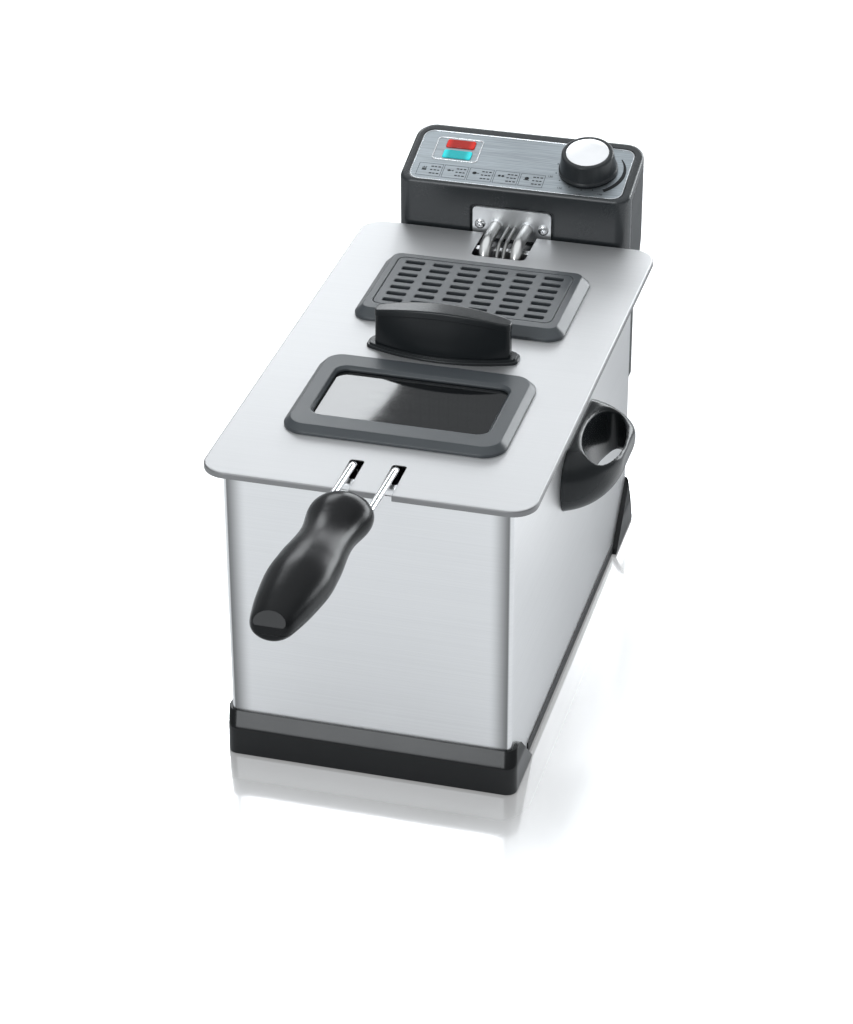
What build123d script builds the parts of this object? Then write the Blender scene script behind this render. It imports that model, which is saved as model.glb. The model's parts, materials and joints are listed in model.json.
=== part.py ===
"""Electric deep fryer with a lift-out tank, control unit, basket and lid.

Millimetres, +Z up, +Y towards the control unit. The pieces are drawn with y measured back from the lid's
front edge and are moved at the end, so that the origin is on the table under the middle of the whole object.
"""

import os
from math import cos, radians, sin, tan

from build123d import *

# Lid
LID_WIDTH = 208.0
LID_DEPTH = 367.0
LID_TOP = 210.0
LID_RIM = 4.0
LID_SHEET = 0.8
LID_CORNER = 16.0
LID_EDGE_RADIUS = 1.2
LID_UNDER = LID_TOP - LID_SHEET

# Slots for the basket's handle wires and the notch for the heating element
WIRE_X = 13.3
WIRE_SLOT_WIDTH = 9.2
WIRE_SLOT_LENGTH = 36.0
WIRE_SLOT_CORNER = 2.2
NOTCH_WIDTH = 38.0
NOTCH_LENGTH = 38.0
NOTCH_CORNER = 4.0

# Viewing window
WINDOW_Y = 108.7
WINDOW_FRAME = (142.0, 102.6)
WINDOW_FRAME_CORNER = 15.0
WINDOW_FRAME_HEIGHT = 5.6
WINDOW_FRAME_BEVEL = 4.0
WINDOW_OPENING = (112.0, 63.0)
WINDOW_OPENING_CORNER = 7.0
WINDOW_LIP_BEVEL = 1.8
GLASS = (120.0, 71.0)
GLASS_THICKNESS = 3.0
GLASS_CORNER = 8.0
GLASS_ROOM = 0.4
GLASS_EDGE = 0.4
SEAL_WIDTH = 4.0
SEAL_THICKNESS = 1.4
CLAMP_BORDER = 6.0
CLAMP_THICKNESS = 1.6

# Filter cover
FILTER_Y = 263.5
FILTER_FRAME = (142.0, 95.0)
FILTER_FRAME_CORNER = 11.0
FILTER_FRAME_HEIGHT = 7.2
FILTER_FRAME_BEVEL = 5.4
GRILLE = (121.0, 71.0)
GRILLE_Y = 264.4
GRILLE_CORNER = 5.0
GRILLE_THICKNESS = 2.6
GRILLE_SEAM = 0.5
GRILLE_COLUMNS = 6
GRILLE_ROWS = 7
GRILLE_PITCH_X = 19.25
GRILLE_PITCH_Y = 9.65
GRILLE_SLOT = (13.4, 4.8)
GRILLE_SLOT_CORNER = 1.4
FILTER_HOLE_INSET = 3.0
MAT_THICKNESS = 2.0
TRAY_THICKNESS = 2.0
TRAY_HOLE = 8.0

# Lid handle
LID_HANDLE_Y = 186.0
LID_HANDLE_BASE_HALF = (50.4, 16.6)
LID_HANDLE_BASE_THICKNESS = 1.9
LID_HANDLE_BASE_END = 6.0
LID_HANDLE_BASE_CORNER = 5.0
LID_HANDLE_BASE_EDGE = 1.0
LID_HANDLE_STEP = (48.6, 15.2)
LID_HANDLE_STEP_THICKNESS = 1.1
LID_HANDLE_STEP_END = 4.8
LID_HANDLE_STEP_CORNER = 3.8
LID_HANDLE_HALF = (45.4, 13.2)
LID_HANDLE_TOP_HALF = (45.0, 7.2)
LID_HANDLE_ROUNDING = 1.2
LID_HANDLE_END = 4.5
LID_HANDLE_CORNER = 3.6
LID_HANDLE_END_HEIGHT = 26.0
LID_HANDLE_CREST_HEIGHT = 31.0
LID_HANDLE_LIP = 0.4
LID_HANDLE_LIP_HEIGHT = 4.5
LID_HANDLE_WALL = 3.0
LID_HANDLE_SCREW_X = 30.0
LID_BOSS = 8.0

# Housing
HOUSING_WIDTH = 182.0
HOUSING_FRONT = 8.0
HOUSING_REAR = 349.0
HOUSING_DEPTH = HOUSING_REAR - HOUSING_FRONT
HOUSING_Y = (HOUSING_FRONT + HOUSING_REAR) / 2
HOUSING_BOTTOM = 4.0
HOUSING_TOP = 204.5
HOUSING_SHEET = 0.7
HOUSING_CORNER = 3.6
HOUSING_FLANGE = 3.2
WALL_X = HOUSING_WIDTH / 2

# Plinths, base and feet
PLINTH_BOTTOM = 1.2
PLINTH_LENGTH = 44.0
PLINTH_RUN_OUT = (PLINTH_LENGTH, PLINTH_BOTTOM)
PLINTH_FRONT_PROFILE = ((-3.0, PLINTH_BOTTOM), (-2.7, 20.0), (-1.2, 33.2), (13.0, 33.2), PLINTH_RUN_OUT)
PLINTH_REAR_PROFILE = ((-16.8, PLINTH_BOTTOM), (-9.8, 22.0), (-1.2, 40.0), (2.0, 40.0), PLINTH_RUN_OUT)
PLINTH_SIDE_FLARE = (3.6, 3.4, 3.0)
PLINTH_SHOULDERS = (12.0, 1.6)
PLINTH_CORNER = 7.0
PLINTH_FLANGE = 22.0
BASE_FLOOR = 2.0
BASE_STRIP_BOTTOM = 2.2
BASE_STRIP_TOP = 9.6
BASE_STRIP_PROUD = 0.9
BASE_SILL = 8.0
BASE_VENT = (4.0, 60.0)
BASE_VENTS = 7
BASE_VENT_PITCH = 14.0
FOOT_DIAMETER = 16.0
FOOT_STUD = 6.0
FOOT_X = 78.0
FOOT_INSET = 14.0
BASE_SCREW_X = 45.0
BASE_SCREW_INSET = 11.0

# Carry handles: sections of the body from the wall outwards as (reach, front, rear, bottom, top, corner), and
# the finger hole's upper and lower ellipse as (reach, y, half axes, z), the upper one tilted outwards
CARRY_SECTIONS = (
    (0.0, 133.0, 236.0, 126.0, 170.0, 20.0),
    (11.0, 138.0, 235.0, 128.5, 167.0, 18.0),
    (22.0, 149.0, 229.0, 133.5, 162.5, 13.5),
    (28.5, 161.0, 222.0, 139.0, 158.5, 9.0),
    (31.8, 174.0, 214.0, 144.0, 155.0, 5.0),
)
CARRY_MOUTH = (16.6, 184.5, (14.4, 34.6), 167.6)
CARRY_MOUTH_TILT = 26.6
CARRY_THROAT = (17.0, 198.0, (8.5, 26.0), 122.0)
CARRY_SCREW_SPOTS = ((147.0, 146.0), (228.0, 146.0))

# Oil tank
TANK_HALF_WIDTH = 85.0
TANK_FRONT = 14.0
TANK_REAR = 343.5
TANK_BOTTOM = 48.0
TANK_SHEET = 1.0
TANK_DRAFT = 1.0
TANK_CORNER = 24.0
TANK_BOTTOM_RADIUS = 14.0
TANK_RIM_GAP = 0.3
TANK_RIM_HEIGHT = 4.0
TANK_RIM_INSET = 0.4

# Heating element
TUBE_DIAMETER = 8.0
TUBE_X = 11.1
TUBE_EXIT_Z = 214.2
TUBE_DROP_Y = 335.0
TUBE_LOOP_Z = 66.0
TUBE_LOOP_REAR = 310.0
TUBE_LOOP_FRONT = 48.0
TUBE_LOOP_OUTER = 58.0
TUBE_LOOP_INNER = 20.0
TUBE_LOOP_RETURN = 284.0
TUBE_BEND = 12.0
TUBE_END_Y = 384.0
TERMINAL_PIN = (3.0, 8.0)

# Control unit
UNIT_HALF_WIDTH = 82.0
UNIT_FRONT = 350.5
UNIT_SHELF = 203.5
UNIT_BOTTOM = 97.0
UNIT_LOWER_REAR = 409.0
UNIT_STEP_Z = 165.0
HEAD_FRONT = 369.5
HEAD_FRONT_TOP = 243.0
HEAD_REAR = 433.0
HEAD_UNDER_Z = 226.0
HEAD_SLOPE = 15.0
HEAD_FRONT_CORNER = 9.0
HEAD_REAR_CORNER = 14.0
HEAD_TOP_RADIUS = 3.2
UNIT_REAR_CORNER = 10.0
UNIT_FRONT_CORNER = 2.0
UNIT_LEAST_CORNER = 0.6
UNIT_WALL = 2.4
UNIT_TOP_WALL = 4.0
UNIT_SEAM_Y = 383.0
UNIT_SEAM_GAP = 0.5
UNIT_TOP_PIECE = 7.0

# Control panel, measured across and up the slope from the head's front top edge
PANEL_HALF_WIDTH = 76.0
PANEL_FRONT = 2.2
PANEL_BACK = 57.2
PANEL_CORNER = 8.0
PANEL_THICKNESS = 0.8
PANEL_SINK = 0.6
PANEL_ROOM = 0.1
LENS_SIZE = (20.4, 8.6)
LENS_X = -47.2
LENS_UP = (43.6, 32.0)
LENS_CORNER = 1.6
LENS_PROUD = 0.9
LENS_FLANGE = 1.2
LENS_DEPTH = 5.4
LENS_CROWN = 0.7
HOLDER_SIZE = (26.0, 30.0, 7.0)
NEON_DIAMETER = 5.6
NEON_LENGTH = 17.0
NEON_SINK = 3.2
KNOB_X = 47.0
KNOB_UP = 31.0
KNOB_BASE_DIAMETER = 41.0
KNOB_TOP_DIAMETER = 36.0
KNOB_SKIRT = 2.6
KNOB_HEIGHT = 15.0
KNOB_GAP = 0.5
KNOB_WALL = 2.2
KNOB_CAP_DIAMETER = 29.6
KNOB_CAP_SINK = 1.2
KNOB_CAP_CROWN = 2.0
KNOB_BOSS = 12.0
KNOB_EDGE = 0.8
SPINDLE_DIAMETER = 6.0
SPINDLE_CLEARANCE = 0.05
SPINDLE_LOW = -15.0
SPINDLE_FLAT = 1.5
BUSH_DIAMETER = 9.6
BUSH_HOLE = 10.0
BUSH_TOP = 2.0
NUT_ACROSS = 14.0
NUT_HEIGHT = 2.0
THERMOSTAT_BODY = (36.0, 34.0, 18.0)
THERMOSTAT_CORNER = 3.0
TERMINAL_TAB = (4.8, 0.8, 6.0)

# Element plate and the sensors
PLATE_HALF_WIDTH = 28.0
PLATE_BOTTOM = 205.0
PLATE_TOP = 227.4
PLATE_THICKNESS = 1.2
PLATE_SINK = 0.4
PLATE_CORNER = 3.0
PLATE_POCKET_MARGIN = 1.5
PLATE_SCREW_X = 22.6
PLATE_SCREW_Z = 215.0
PLATE_BOSS_LENGTH = 8.0
FERRULE_DIAMETER = 10.0
FERRULE_LENGTH = 1.6
CAPILLARY_DIAMETER = 2.6
CAPILLARY_X = 2.3
CAPILLARY_Z = 213.6
CAPILLARY_DROP_Y = 335.0
CAPILLARY_FOOT_Z = 73.6
CAPILLARY_BEND = 13.0
BULB_DIAMETER = 6.0
BULB_X = 4.2
BULB_REAR = 300.0
BULB_LENGTH = 90.0
GUARD_Z = 196.0
GUARD_SIZE = (36.0, 12.0, 1.2)

# Pieces inside the control unit and on its rear
BOSS_X = 74.0
BOSS_Z = (118.0, 188.0)
BOSS_DIAMETER = 8.0
WELL_DIAMETER = 9.6
WELL_FLOOR = 2.5
COVER_VENT = (2.6, 16.0)
COVER_VENTS = 9
COVER_VENT_PITCH = 7.0
COVER_VENT_Z = 150.0
RAIL_X = 60.0
RAIL_WIDTH = 10.0
RAIL_DEPTH = 7.0
RAIL_CHAMFER = 0.8
RAIL_BOTTOM = 112.0
RAIL_TOP = 180.0
RAIL_ROOM = 0.6
RAIL_BLOCK_WALL = 2.6
RAIL_SCREW_Z = (125.0, 165.0)
PIN_DIAMETER = 2.4
PIN_Y = 353.5
PIN_ROOT = 6.0
PIN_LENGTH = 8.0
PIN_HOLE = 3.4
SWITCH_SIZE = (20.0, 9.0, 11.0)
SWITCH_GAP = 0.4
GLAND_X = -45.0
GLAND_Z = 117.0
GLAND_FLANGE = (18.0, 3.0)
GLAND_BODY = 12.4
GLAND_HOLE = 12.6
GLAND_BORE = 7.2
GLAND_INNER = (16.5, 3.0)
GLAND_EDGE = 1.0
RESET_X = 45.0
RESET_Z = 140.0
RESET_DIAMETER = 9.0
RESET_CLEARANCE = 0.05
RESET_PROUD = 2.6
RESET_FLANGE = (11.6, 1.2)
RESET_EDGE = 1.2
RESET_TRAVEL = 2.0
CUTOUT_DIAMETER = 22.0
CUTOUT_LENGTH = 11.0
CUTOUT_GAP = 0.5
CUTOUT_EAR = (28.0, 2.0)
TERMINAL_SIZE = (44.0, 14.0, 13.0)
TERMINAL_Y = 396.0
TERMINAL_WAYS = 4
TERMINAL_SCREW = 5.5
TERMINAL_WIRE = 4.4

# Basket
BASKET_HALF_WIDTH = 72.0
BASKET_FRONT = 36.0
BASKET_REAR = 316.0
BASKET_RIM_Z = 188.0
BASKET_RIM_WIRE = 4.0
BASKET_RIM_CORNER = 12.0
BASKET_FLOOR = 80.0
NET_THICKNESS = 1.6
NET_BAR = 1.8
NET_MARGIN = 3.0
NET_FLOOR_CELLS = (12, 24)
NET_SIDE_CELLS = (24, 9)
NET_END_CELLS = (12, 9)
BASE_RING_WIRE = 3.0
BASE_RING_INSET = 6.0
HOOK_X = 30.0
HOOK_WIRE = 3.0
HOOK_LOW = 150.0
HOOK_TOP = 199.0
HOOK_REACH = 8.4
HOOK_TIP = 13.0
HOOK_BEND = 4.0
BRACKET_HALF_WIDTH = 21.0
BRACKET_BOTTOM = 132.0
BRACKET_TOP = 190.0
BRACKET_THICKNESS = 1.0
BRACKET_CORNER = 5.0
HANDLE_WIRE = 4.8
HANDLE_WIRE_BEND = 9.0
HANDLE_WIRE_Z = 212.4
HANDLE_WIRE_RISE = 8.0
HANDLE_WIRE_END = -118.0

# Grip of the basket handle: sections as (distance in front of the lid, half width, half height)
GRIP_Z = 217.4
GRIP_RISE = 7.5
GRIP_SECTIONS = (
    (30.0, 10.5, 7.9),
    (33.0, 15.4, 11.5),
    (40.0, 19.0, 14.2),
    (52.0, 19.1, 14.3),
    (64.0, 17.2, 12.9),
    (76.0, 16.6, 12.4),
    (90.0, 17.6, 13.2),
    (105.0, 19.1, 14.3),
    (120.0, 19.8, 14.9),
    (135.0, 19.2, 14.4),
    (149.0, 17.6, 13.2),
    (162.0, 15.6, 11.7),
    (172.0, 13.6, 10.2),
    (178.0, 11.6, 8.7),
    (180.5, 7.6, 5.7),
)
GRIP_SPLIT_DROP = 3.0
GRIP_SEAM = 0.25
GRIP_FACET_TILT = 55.0
GRIP_FACET_AT = 176.0
GRIP_FACET_UP = 15.8
GRIP_SCREW_DROP = 9.0
GRIP_SCREW_SPOTS = (70.0, 140.0)

# Screws, as (head diameter, head height, shank diameter, shank length)
PAN_SCREW = (7.4, 1.9, 3.6, 9.0)
BASE_SCREW = (7.0, 2.2, 3.4, 4.4)
RAIL_SCREW = (6.0, 1.8, 2.9, 6.6)
COVER_SCREW = (5.8, 2.2, 2.9, 16.0)
LID_SCREW = (7.0, 2.0, 3.4, 10.0)
GRIP_SCREW = (6.0, 2.2, 2.9, 11.0)
SCREW_SLOT = (1.0, 0.9)
SCREW_ROOM = 0.1

# Rounding of slot ends as a share of the slot's width, and of screw heads and lamps as a share of their size
SLOT_ROUNDING = 0.48
HEAD_ROUNDING = 0.45

# The whole object runs from the end of the grip to the back of the head.
GRIP_END = -GRIP_SECTIONS[-1][0]
ORIGIN_Y = (GRIP_END + HEAD_REAR) / 2

# Lengths for cuts: right across the object, and a little past a face
FAR = 600.0
PAST = 1.0

FROM_BOTTOM = (Align.CENTER, Align.CENTER, Align.MIN)
SLOPE_OUT = (0.0, -sin(radians(HEAD_SLOPE)), cos(radians(HEAD_SLOPE)))
SLOPE = Plane(origin=(0, HEAD_FRONT, HEAD_FRONT_TOP), x_dir=(1, 0, 0), z_dir=SLOPE_OUT)
GRIP_FACET_OUT = (0.0, -sin(radians(GRIP_FACET_TILT)), cos(radians(GRIP_FACET_TILT)))


def block(x0, x1, y0, y1, z0, z1):
    """A box between two corners."""
    middle = Pos((x0 + x1) / 2, (y0 + y1) / 2, (z0 + z1) / 2)
    return middle * Box(x1 - x0, y1 - y0, z1 - z0)


def slab(size, corner, y, z0, z1):
    """A plate with rounded corners, centred on the lid's middle line."""
    outline = RectangleRounded(size[0], size[1], corner)
    return Pos(0, y, z0) * extrude(outline, z1 - z0)


def rod(start, direction, diameter, length):
    """A round bar from a point along a direction."""
    return Plane(origin=start, z_dir=direction) * Cylinder(diameter / 2, length, align=FROM_BOTTOM)


def wire(points, diameter, bend):
    """A bent round wire or tube: straight runs joined by equal bends."""
    path = FilletPolyline(*points, radius=bend)
    section = Plane(origin=path @ 0, z_dir=path % 0) * Circle(diameter / 2)
    return sweep(section, path=path)


def ring_wire(half_width, front, rear, corner, z, diameter):
    """A closed wire bent to a rounded rectangle."""
    middle = (front + rear) / 2
    path = Pos(0, middle, z) * RectangleRounded(2 * half_width, rear - front, corner)
    loop = path.faces()[0].outer_wire()
    section = Plane(origin=loop @ 0, z_dir=loop % 0) * Circle(diameter / 2)
    return sweep(section, path=loop)


def side_profile(points, half_width):
    """A solid with the same outline in every plane across the object, from points (y, z)."""
    outline = make_face(Polyline(*[(-half_width, y, z) for y, z in points], close=True))
    return extrude(outline, 2 * half_width, dir=(1, 0, 0))


def plan_box(half_width, front, rear, front_corner, rear_corner, z0, z1):
    """An upright box whose front and rear corners have their own radius."""
    box = block(-half_width, half_width, front, rear, z0, z1)
    upright = box.edges().filter_by(Axis.Z).sort_by(Axis.Y)
    box = fillet(upright[2:], rear_corner)
    front_edges = box.edges().filter_by(Axis.Z).sort_by(Axis.Y)[:2]
    return fillet(front_edges, front_corner)


def screw(start, direction, size):
    """A slotted screw with its head's underside at start and its shank pointing along direction."""
    head_diameter, head_height, shank_diameter, shank_length = size
    shank = Cylinder(shank_diameter / 2, shank_length, align=FROM_BOTTOM)
    head = Rotation(180, 0, 0) * Cylinder(head_diameter / 2, head_height, align=FROM_BOTTOM)
    head = fillet(head.edges().sort_by(Axis.Z)[0], head_height * HEAD_ROUNDING)
    slot_width, slot_depth = SCREW_SLOT
    slot = Pos(0, 0, -head_height) * Box(head_diameter, slot_width, 2 * slot_depth)
    return Plane(origin=start, z_dir=direction) * (shank + head - slot)


def screw_hole(start, direction, size):
    """The hole that a screw's shank goes into."""
    return rod(start, direction, size[2] + 2 * SCREW_ROOM, size[3] + SCREW_ROOM)


def both_sides(shape):
    """A shape and its mirror image across the middle plane."""
    return [shape, mirror(shape, about=Plane.YZ)]


def group(shapes):
    """Separate solids kept together in one node."""
    return Compound([solid for shape in shapes for solid in shape.solids()])


# Housing


def carry_screw_spots():
    """Points on the right wall's inner face where a carry handle is screwed on."""
    return [(WALL_X - HOUSING_SHEET, y, z) for y, z in CARRY_SCREW_SPOTS]


def rail_screw_spots():
    """Points on the rear wall's inner face where the guide rails are screwed on."""
    return [(x, HOUSING_REAR - HOUSING_SHEET, z) for x in (-RAIL_X, RAIL_X) for z in RAIL_SCREW_Z]


def foot_spots():
    """Middle of each foot as (x, y)."""
    front = HOUSING_FRONT + FOOT_INSET
    rear = HOUSING_REAR - FOOT_INSET
    return [(x, y) for y in (front, rear) for x in (-FOOT_X, FOOT_X)]


def base_screw_spots():
    """Underside of each base screw's head, on the base pan's floor."""
    front = HOUSING_FRONT + BASE_SCREW_INSET
    rear = HOUSING_REAR - BASE_SCREW_INSET
    return [(x, y, HOUSING_BOTTOM + BASE_FLOOR) for y in (front, rear) for x in (-BASE_SCREW_X, BASE_SCREW_X)]


def housing_shell():
    size = (HOUSING_WIDTH, HOUSING_DEPTH)
    inside = (HOUSING_WIDTH - 2 * HOUSING_SHEET, HOUSING_DEPTH - 2 * HOUSING_SHEET)
    mouth = (inside[0] - 2 * HOUSING_FLANGE, inside[1] - 2 * HOUSING_FLANGE)
    inner_corner = HOUSING_CORNER - HOUSING_SHEET
    wrap = slab(size, HOUSING_CORNER, HOUSING_Y, HOUSING_BOTTOM, HOUSING_TOP)
    wrap -= slab(inside, inner_corner, HOUSING_Y, HOUSING_BOTTOM, HOUSING_TOP - HOUSING_SHEET)
    wrap -= slab(mouth, inner_corner, HOUSING_Y, HOUSING_TOP - 2 * HOUSING_SHEET, HOUSING_TOP)
    for spot in carry_screw_spots():
        for hole in both_sides(screw_hole(spot, (1, 0, 0), PAN_SCREW)):
            wrap -= hole
    for spot in rail_screw_spots():
        wrap -= screw_hole(spot, (0, 1, 0), RAIL_SCREW)
    return wrap


def plinth(profile, shoulder):
    """A sleeve round the housing's front end, whose faces lean out and whose sides run out to the floor."""
    low, knee, top = (z for _, z in profile[:3])
    halves = [WALL_X + flare for flare in PLINTH_SIDE_FLARE]
    end = HOUSING_FRONT + PLINTH_LENGTH
    body = side_profile([(HOUSING_FRONT + y, z) for y, z in profile], halves[0])
    shoulder_y = HOUSING_FRONT + profile[3][0]
    crosswise = body.edges().filter_by(Axis.X)
    body = fillet(crosswise.sort_by_distance((0, shoulder_y, top))[0], shoulder)
    right = list(zip(halves, (low, knee, top)))
    left = [(-x, z) for x, z in reversed(right)]
    body &= extrude(make_face(Polyline(*[(x, 0, z) for x, z in right + left], close=True)), FAR, both=True)
    middles = [(edge, edge.center()) for edge in body.edges()]
    corners = [edge for edge, spot in middles if spot.Y < HOUSING_FRONT and abs(spot.X) > WALL_X]
    body = fillet(corners, PLINTH_CORNER)
    outline = (HOUSING_WIDTH, HOUSING_DEPTH)
    body -= slab(outline, HOUSING_CORNER - SCREW_ROOM, HOUSING_Y, HOUSING_BOTTOM, top)
    middle = WALL_X - PLINTH_FLANGE
    body -= block(-middle, middle, HOUSING_FRONT + PLINTH_FLANGE, end, 0, HOUSING_BOTTOM)
    for x, y in foot_spots()[:2]:
        body -= rod((x, y, 0), (0, 0, 1), FOOT_STUD + 2 * SCREW_ROOM, HOUSING_BOTTOM)
    for spot in base_screw_spots()[:2]:
        body -= screw_hole(spot, (0, 0, -1), BASE_SCREW)
    return body


def front_plinth():
    return plinth(PLINTH_FRONT_PROFILE, PLINTH_SHOULDERS[0])


def rear_plinth():
    return mirror(plinth(PLINTH_REAR_PROFILE, PLINTH_SHOULDERS[1]), about=Plane.XZ.offset(-HOUSING_Y))


def base_pan():
    half = WALL_X - HOUSING_SHEET - SCREW_ROOM
    front = HOUSING_FRONT + HOUSING_SHEET + SCREW_ROOM
    rear = HOUSING_REAR - HOUSING_SHEET - SCREW_ROOM
    floor_top = HOUSING_BOTTOM + BASE_FLOOR
    pan = plan_box(half, front, rear, HOUSING_CORNER, HOUSING_CORNER, HOUSING_BOTTOM, floor_top)
    strip_front = HOUSING_FRONT + PLINTH_LENGTH
    strip_rear = HOUSING_REAR - PLINTH_LENGTH
    outer = WALL_X + BASE_STRIP_PROUD
    sill = block(half - BASE_SILL, outer, strip_front, strip_rear, BASE_STRIP_BOTTOM, HOUSING_BOTTOM)
    lip = block(WALL_X, outer, strip_front, strip_rear, HOUSING_BOTTOM, BASE_STRIP_TOP)
    for piece in both_sides(sill + lip):
        pan += piece
    vent = extrude(RectangleRounded(BASE_VENT[0], BASE_VENT[1], BASE_VENT[0] * SLOT_ROUNDING), floor_top)
    for index in range(BASE_VENTS):
        offset = (index - (BASE_VENTS - 1) / 2) * BASE_VENT_PITCH
        pan -= Pos(offset, HOUSING_Y, 0) * vent
    for spot in base_screw_spots():
        pan -= screw_hole(spot, (0, 0, -1), BASE_SCREW)
    return pan


def rubber_feet():
    feet = []
    for x, y in foot_spots():
        pad = rod((x, y, 0), (0, 0, 1), FOOT_DIAMETER, PLINTH_BOTTOM)
        stud = rod((x, y, PLINTH_BOTTOM), (0, 0, 1), FOOT_STUD, HOUSING_BOTTOM - PLINTH_BOTTOM)
        feet.append(pad + stud)
    return group(feet)


def base_screws():
    return group([screw(spot, (0, 0, -1), BASE_SCREW) for spot in base_screw_spots()])


def carry_section(reach, front, rear, bottom, top, corner):
    """One upright section of a carry handle, at a distance out from the wall."""
    middle = (WALL_X + reach, (front + rear) / 2, (bottom + top) / 2)
    plane = Plane(origin=middle, x_dir=(0, 1, 0), z_dir=(1, 0, 0))
    return plane * RectangleRounded(rear - front, top - bottom, corner)


def right_carry_handle():
    body = loft([carry_section(*values) for values in CARRY_SECTIONS])
    reach, y, half, z = CARRY_MOUTH
    mouth = Pos(WALL_X + reach, y, z) * Rotation(0, CARRY_MOUTH_TILT, 0) * Ellipse(*half)
    reach, y, half, z = CARRY_THROAT
    throat = Pos(WALL_X + reach, y, z) * Ellipse(*half)
    body -= loft([throat, mouth])
    for spot in carry_screw_spots():
        body -= screw_hole(spot, (1, 0, 0), PAN_SCREW)
    return body


def left_carry_handle():
    return mirror(right_carry_handle(), about=Plane.YZ)


def carry_handle_screws():
    screws = []
    for spot in carry_screw_spots():
        screws += both_sides(screw(spot, (1, 0, 0), PAN_SCREW))
    return group(screws)


def guide_rails():
    rails = []
    half = RAIL_WIDTH / 2
    rear = HOUSING_REAR + RAIL_DEPTH
    for x in (-RAIL_X, RAIL_X):
        rail = block(x - half, x + half, HOUSING_REAR, rear, RAIL_BOTTOM, RAIL_TOP)
        rail = chamfer(rail.edges().group_by(Axis.Z)[-1], RAIL_CHAMFER)
        for z in RAIL_SCREW_Z:
            rail -= screw_hole((x, HOUSING_REAR - HOUSING_SHEET, z), (0, 1, 0), RAIL_SCREW)
        if x < 0:
            rail -= rod((x, PIN_Y, RAIL_TOP), (0, 0, -1), PIN_DIAMETER + 2 * SCREW_ROOM, PIN_ROOT)
        rails.append(rail)
    return group(rails)


def rail_screws():
    return group([screw(spot, (0, 1, 0), RAIL_SCREW) for spot in rail_screw_spots()])


def interlock_pin():
    return rod((-RAIL_X, PIN_Y, RAIL_TOP - PIN_ROOT), (0, 0, 1), PIN_DIAMETER, PIN_ROOT + PIN_LENGTH)


# Oil tank


def tank_form(inset):
    """The tank's outer form, moved inwards by inset."""
    top_z = HOUSING_TOP + TANK_RIM_GAP + TANK_RIM_HEIGHT
    bottom_z = TANK_BOTTOM + inset
    middle = Pos(0, (TANK_FRONT + TANK_REAR) / 2, 0)
    faces = []
    for z in (bottom_z, top_z):
        narrowing = (top_z - z) * tan(radians(TANK_DRAFT)) + inset
        width = 2 * (TANK_HALF_WIDTH - narrowing)
        depth = TANK_REAR - TANK_FRONT - 2 * narrowing
        faces.append(middle * Pos(0, 0, z) * RectangleRounded(width, depth, TANK_CORNER - inset))
    form = loft(faces, ruled=True)
    return fillet(form.edges().group_by(Axis.Z)[0], TANK_BOTTOM_RADIUS - inset)


def oil_tank():
    low = HOUSING_TOP + TANK_RIM_GAP
    top = low + TANK_RIM_HEIGHT
    size = (HOUSING_WIDTH - 2 * TANK_RIM_INSET, HOUSING_DEPTH - 2 * TANK_RIM_INSET)
    hollow = (size[0] - 2 * TANK_SHEET, size[1] - 2 * TANK_SHEET)
    rim = slab(size, HOUSING_CORNER, HOUSING_Y, low, top)
    rim = fillet(rim.edges().group_by(Axis.Z)[-1], TANK_SHEET)
    rim -= slab(hollow, HOUSING_CORNER - TANK_SHEET, HOUSING_Y, low, top - TANK_SHEET)
    return rim + tank_form(0) - tank_form(TANK_SHEET)


# Control unit


def slope_height(y):
    """Height of the head's sloping top at a distance back."""
    return HEAD_FRONT_TOP + (y - HEAD_FRONT) * tan(radians(HEAD_SLOPE))


def unit_form(wall, top_wall):
    """The control unit's outer form, moved inwards by the wall's thickness."""
    half = UNIT_HALF_WIDTH - wall
    front_corner = max(UNIT_FRONT_CORNER - wall, UNIT_LEAST_CORNER)
    lower = plan_box(
        half, UNIT_FRONT + wall, UNIT_LOWER_REAR - wall, front_corner, UNIT_REAR_CORNER - wall,
        UNIT_BOTTOM + wall, UNIT_SHELF - wall,
    )
    front = HEAD_FRONT + wall
    rear = HEAD_REAR - wall
    drop = top_wall / cos(radians(HEAD_SLOPE))
    front_corner = max(HEAD_FRONT_CORNER - wall, UNIT_LEAST_CORNER)
    head = plan_box(half, front, rear, front_corner, HEAD_REAR_CORNER - wall, UNIT_STEP_Z, slope_height(rear))
    outline = [
        (front, UNIT_STEP_Z),
        (front, slope_height(front) - drop),
        (rear, slope_height(rear) - drop),
        (rear, HEAD_UNDER_Z),
        (UNIT_LOWER_REAR - wall, UNIT_STEP_Z),
    ]
    head &= side_profile(outline, half)
    return head + lower


def on_slope(x, up, out=0.0):
    """A place on the head's sloping top: across, up the slope and out from it."""
    return SLOPE * Pos(x, up, out)


def front_zone(gap):
    """The room that the control unit's front shell takes up: the front and the whole top."""
    front = block(-FAR, FAR, 0, UNIT_SEAM_Y + gap, 0, FAR)
    top = on_slope(0, 0, -UNIT_TOP_PIECE - gap) * Box(FAR, FAR, FAR, align=FROM_BOTTOM)
    return front + top


def unit_walls():
    outer = unit_form(0, 0)
    top_face = outer.faces().filter_by(SLOPE)[0]
    outer = fillet(top_face.edges(), HEAD_TOP_RADIUS)
    return outer - unit_form(UNIT_WALL, UNIT_TOP_WALL)


def lens_places():
    """Middle of the red and the green lens on the slope."""
    return [(LENS_X, up) for up in LENS_UP]


def panel_outline(grow=0.0):
    """The control panel's outline on the slope."""
    middle = (PANEL_FRONT + PANEL_BACK) / 2
    size = (2 * PANEL_HALF_WIDTH + 2 * grow, PANEL_BACK - PANEL_FRONT + 2 * grow)
    return Pos(0, middle, 0) * RectangleRounded(size[0], size[1], PANEL_CORNER + grow)


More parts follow.
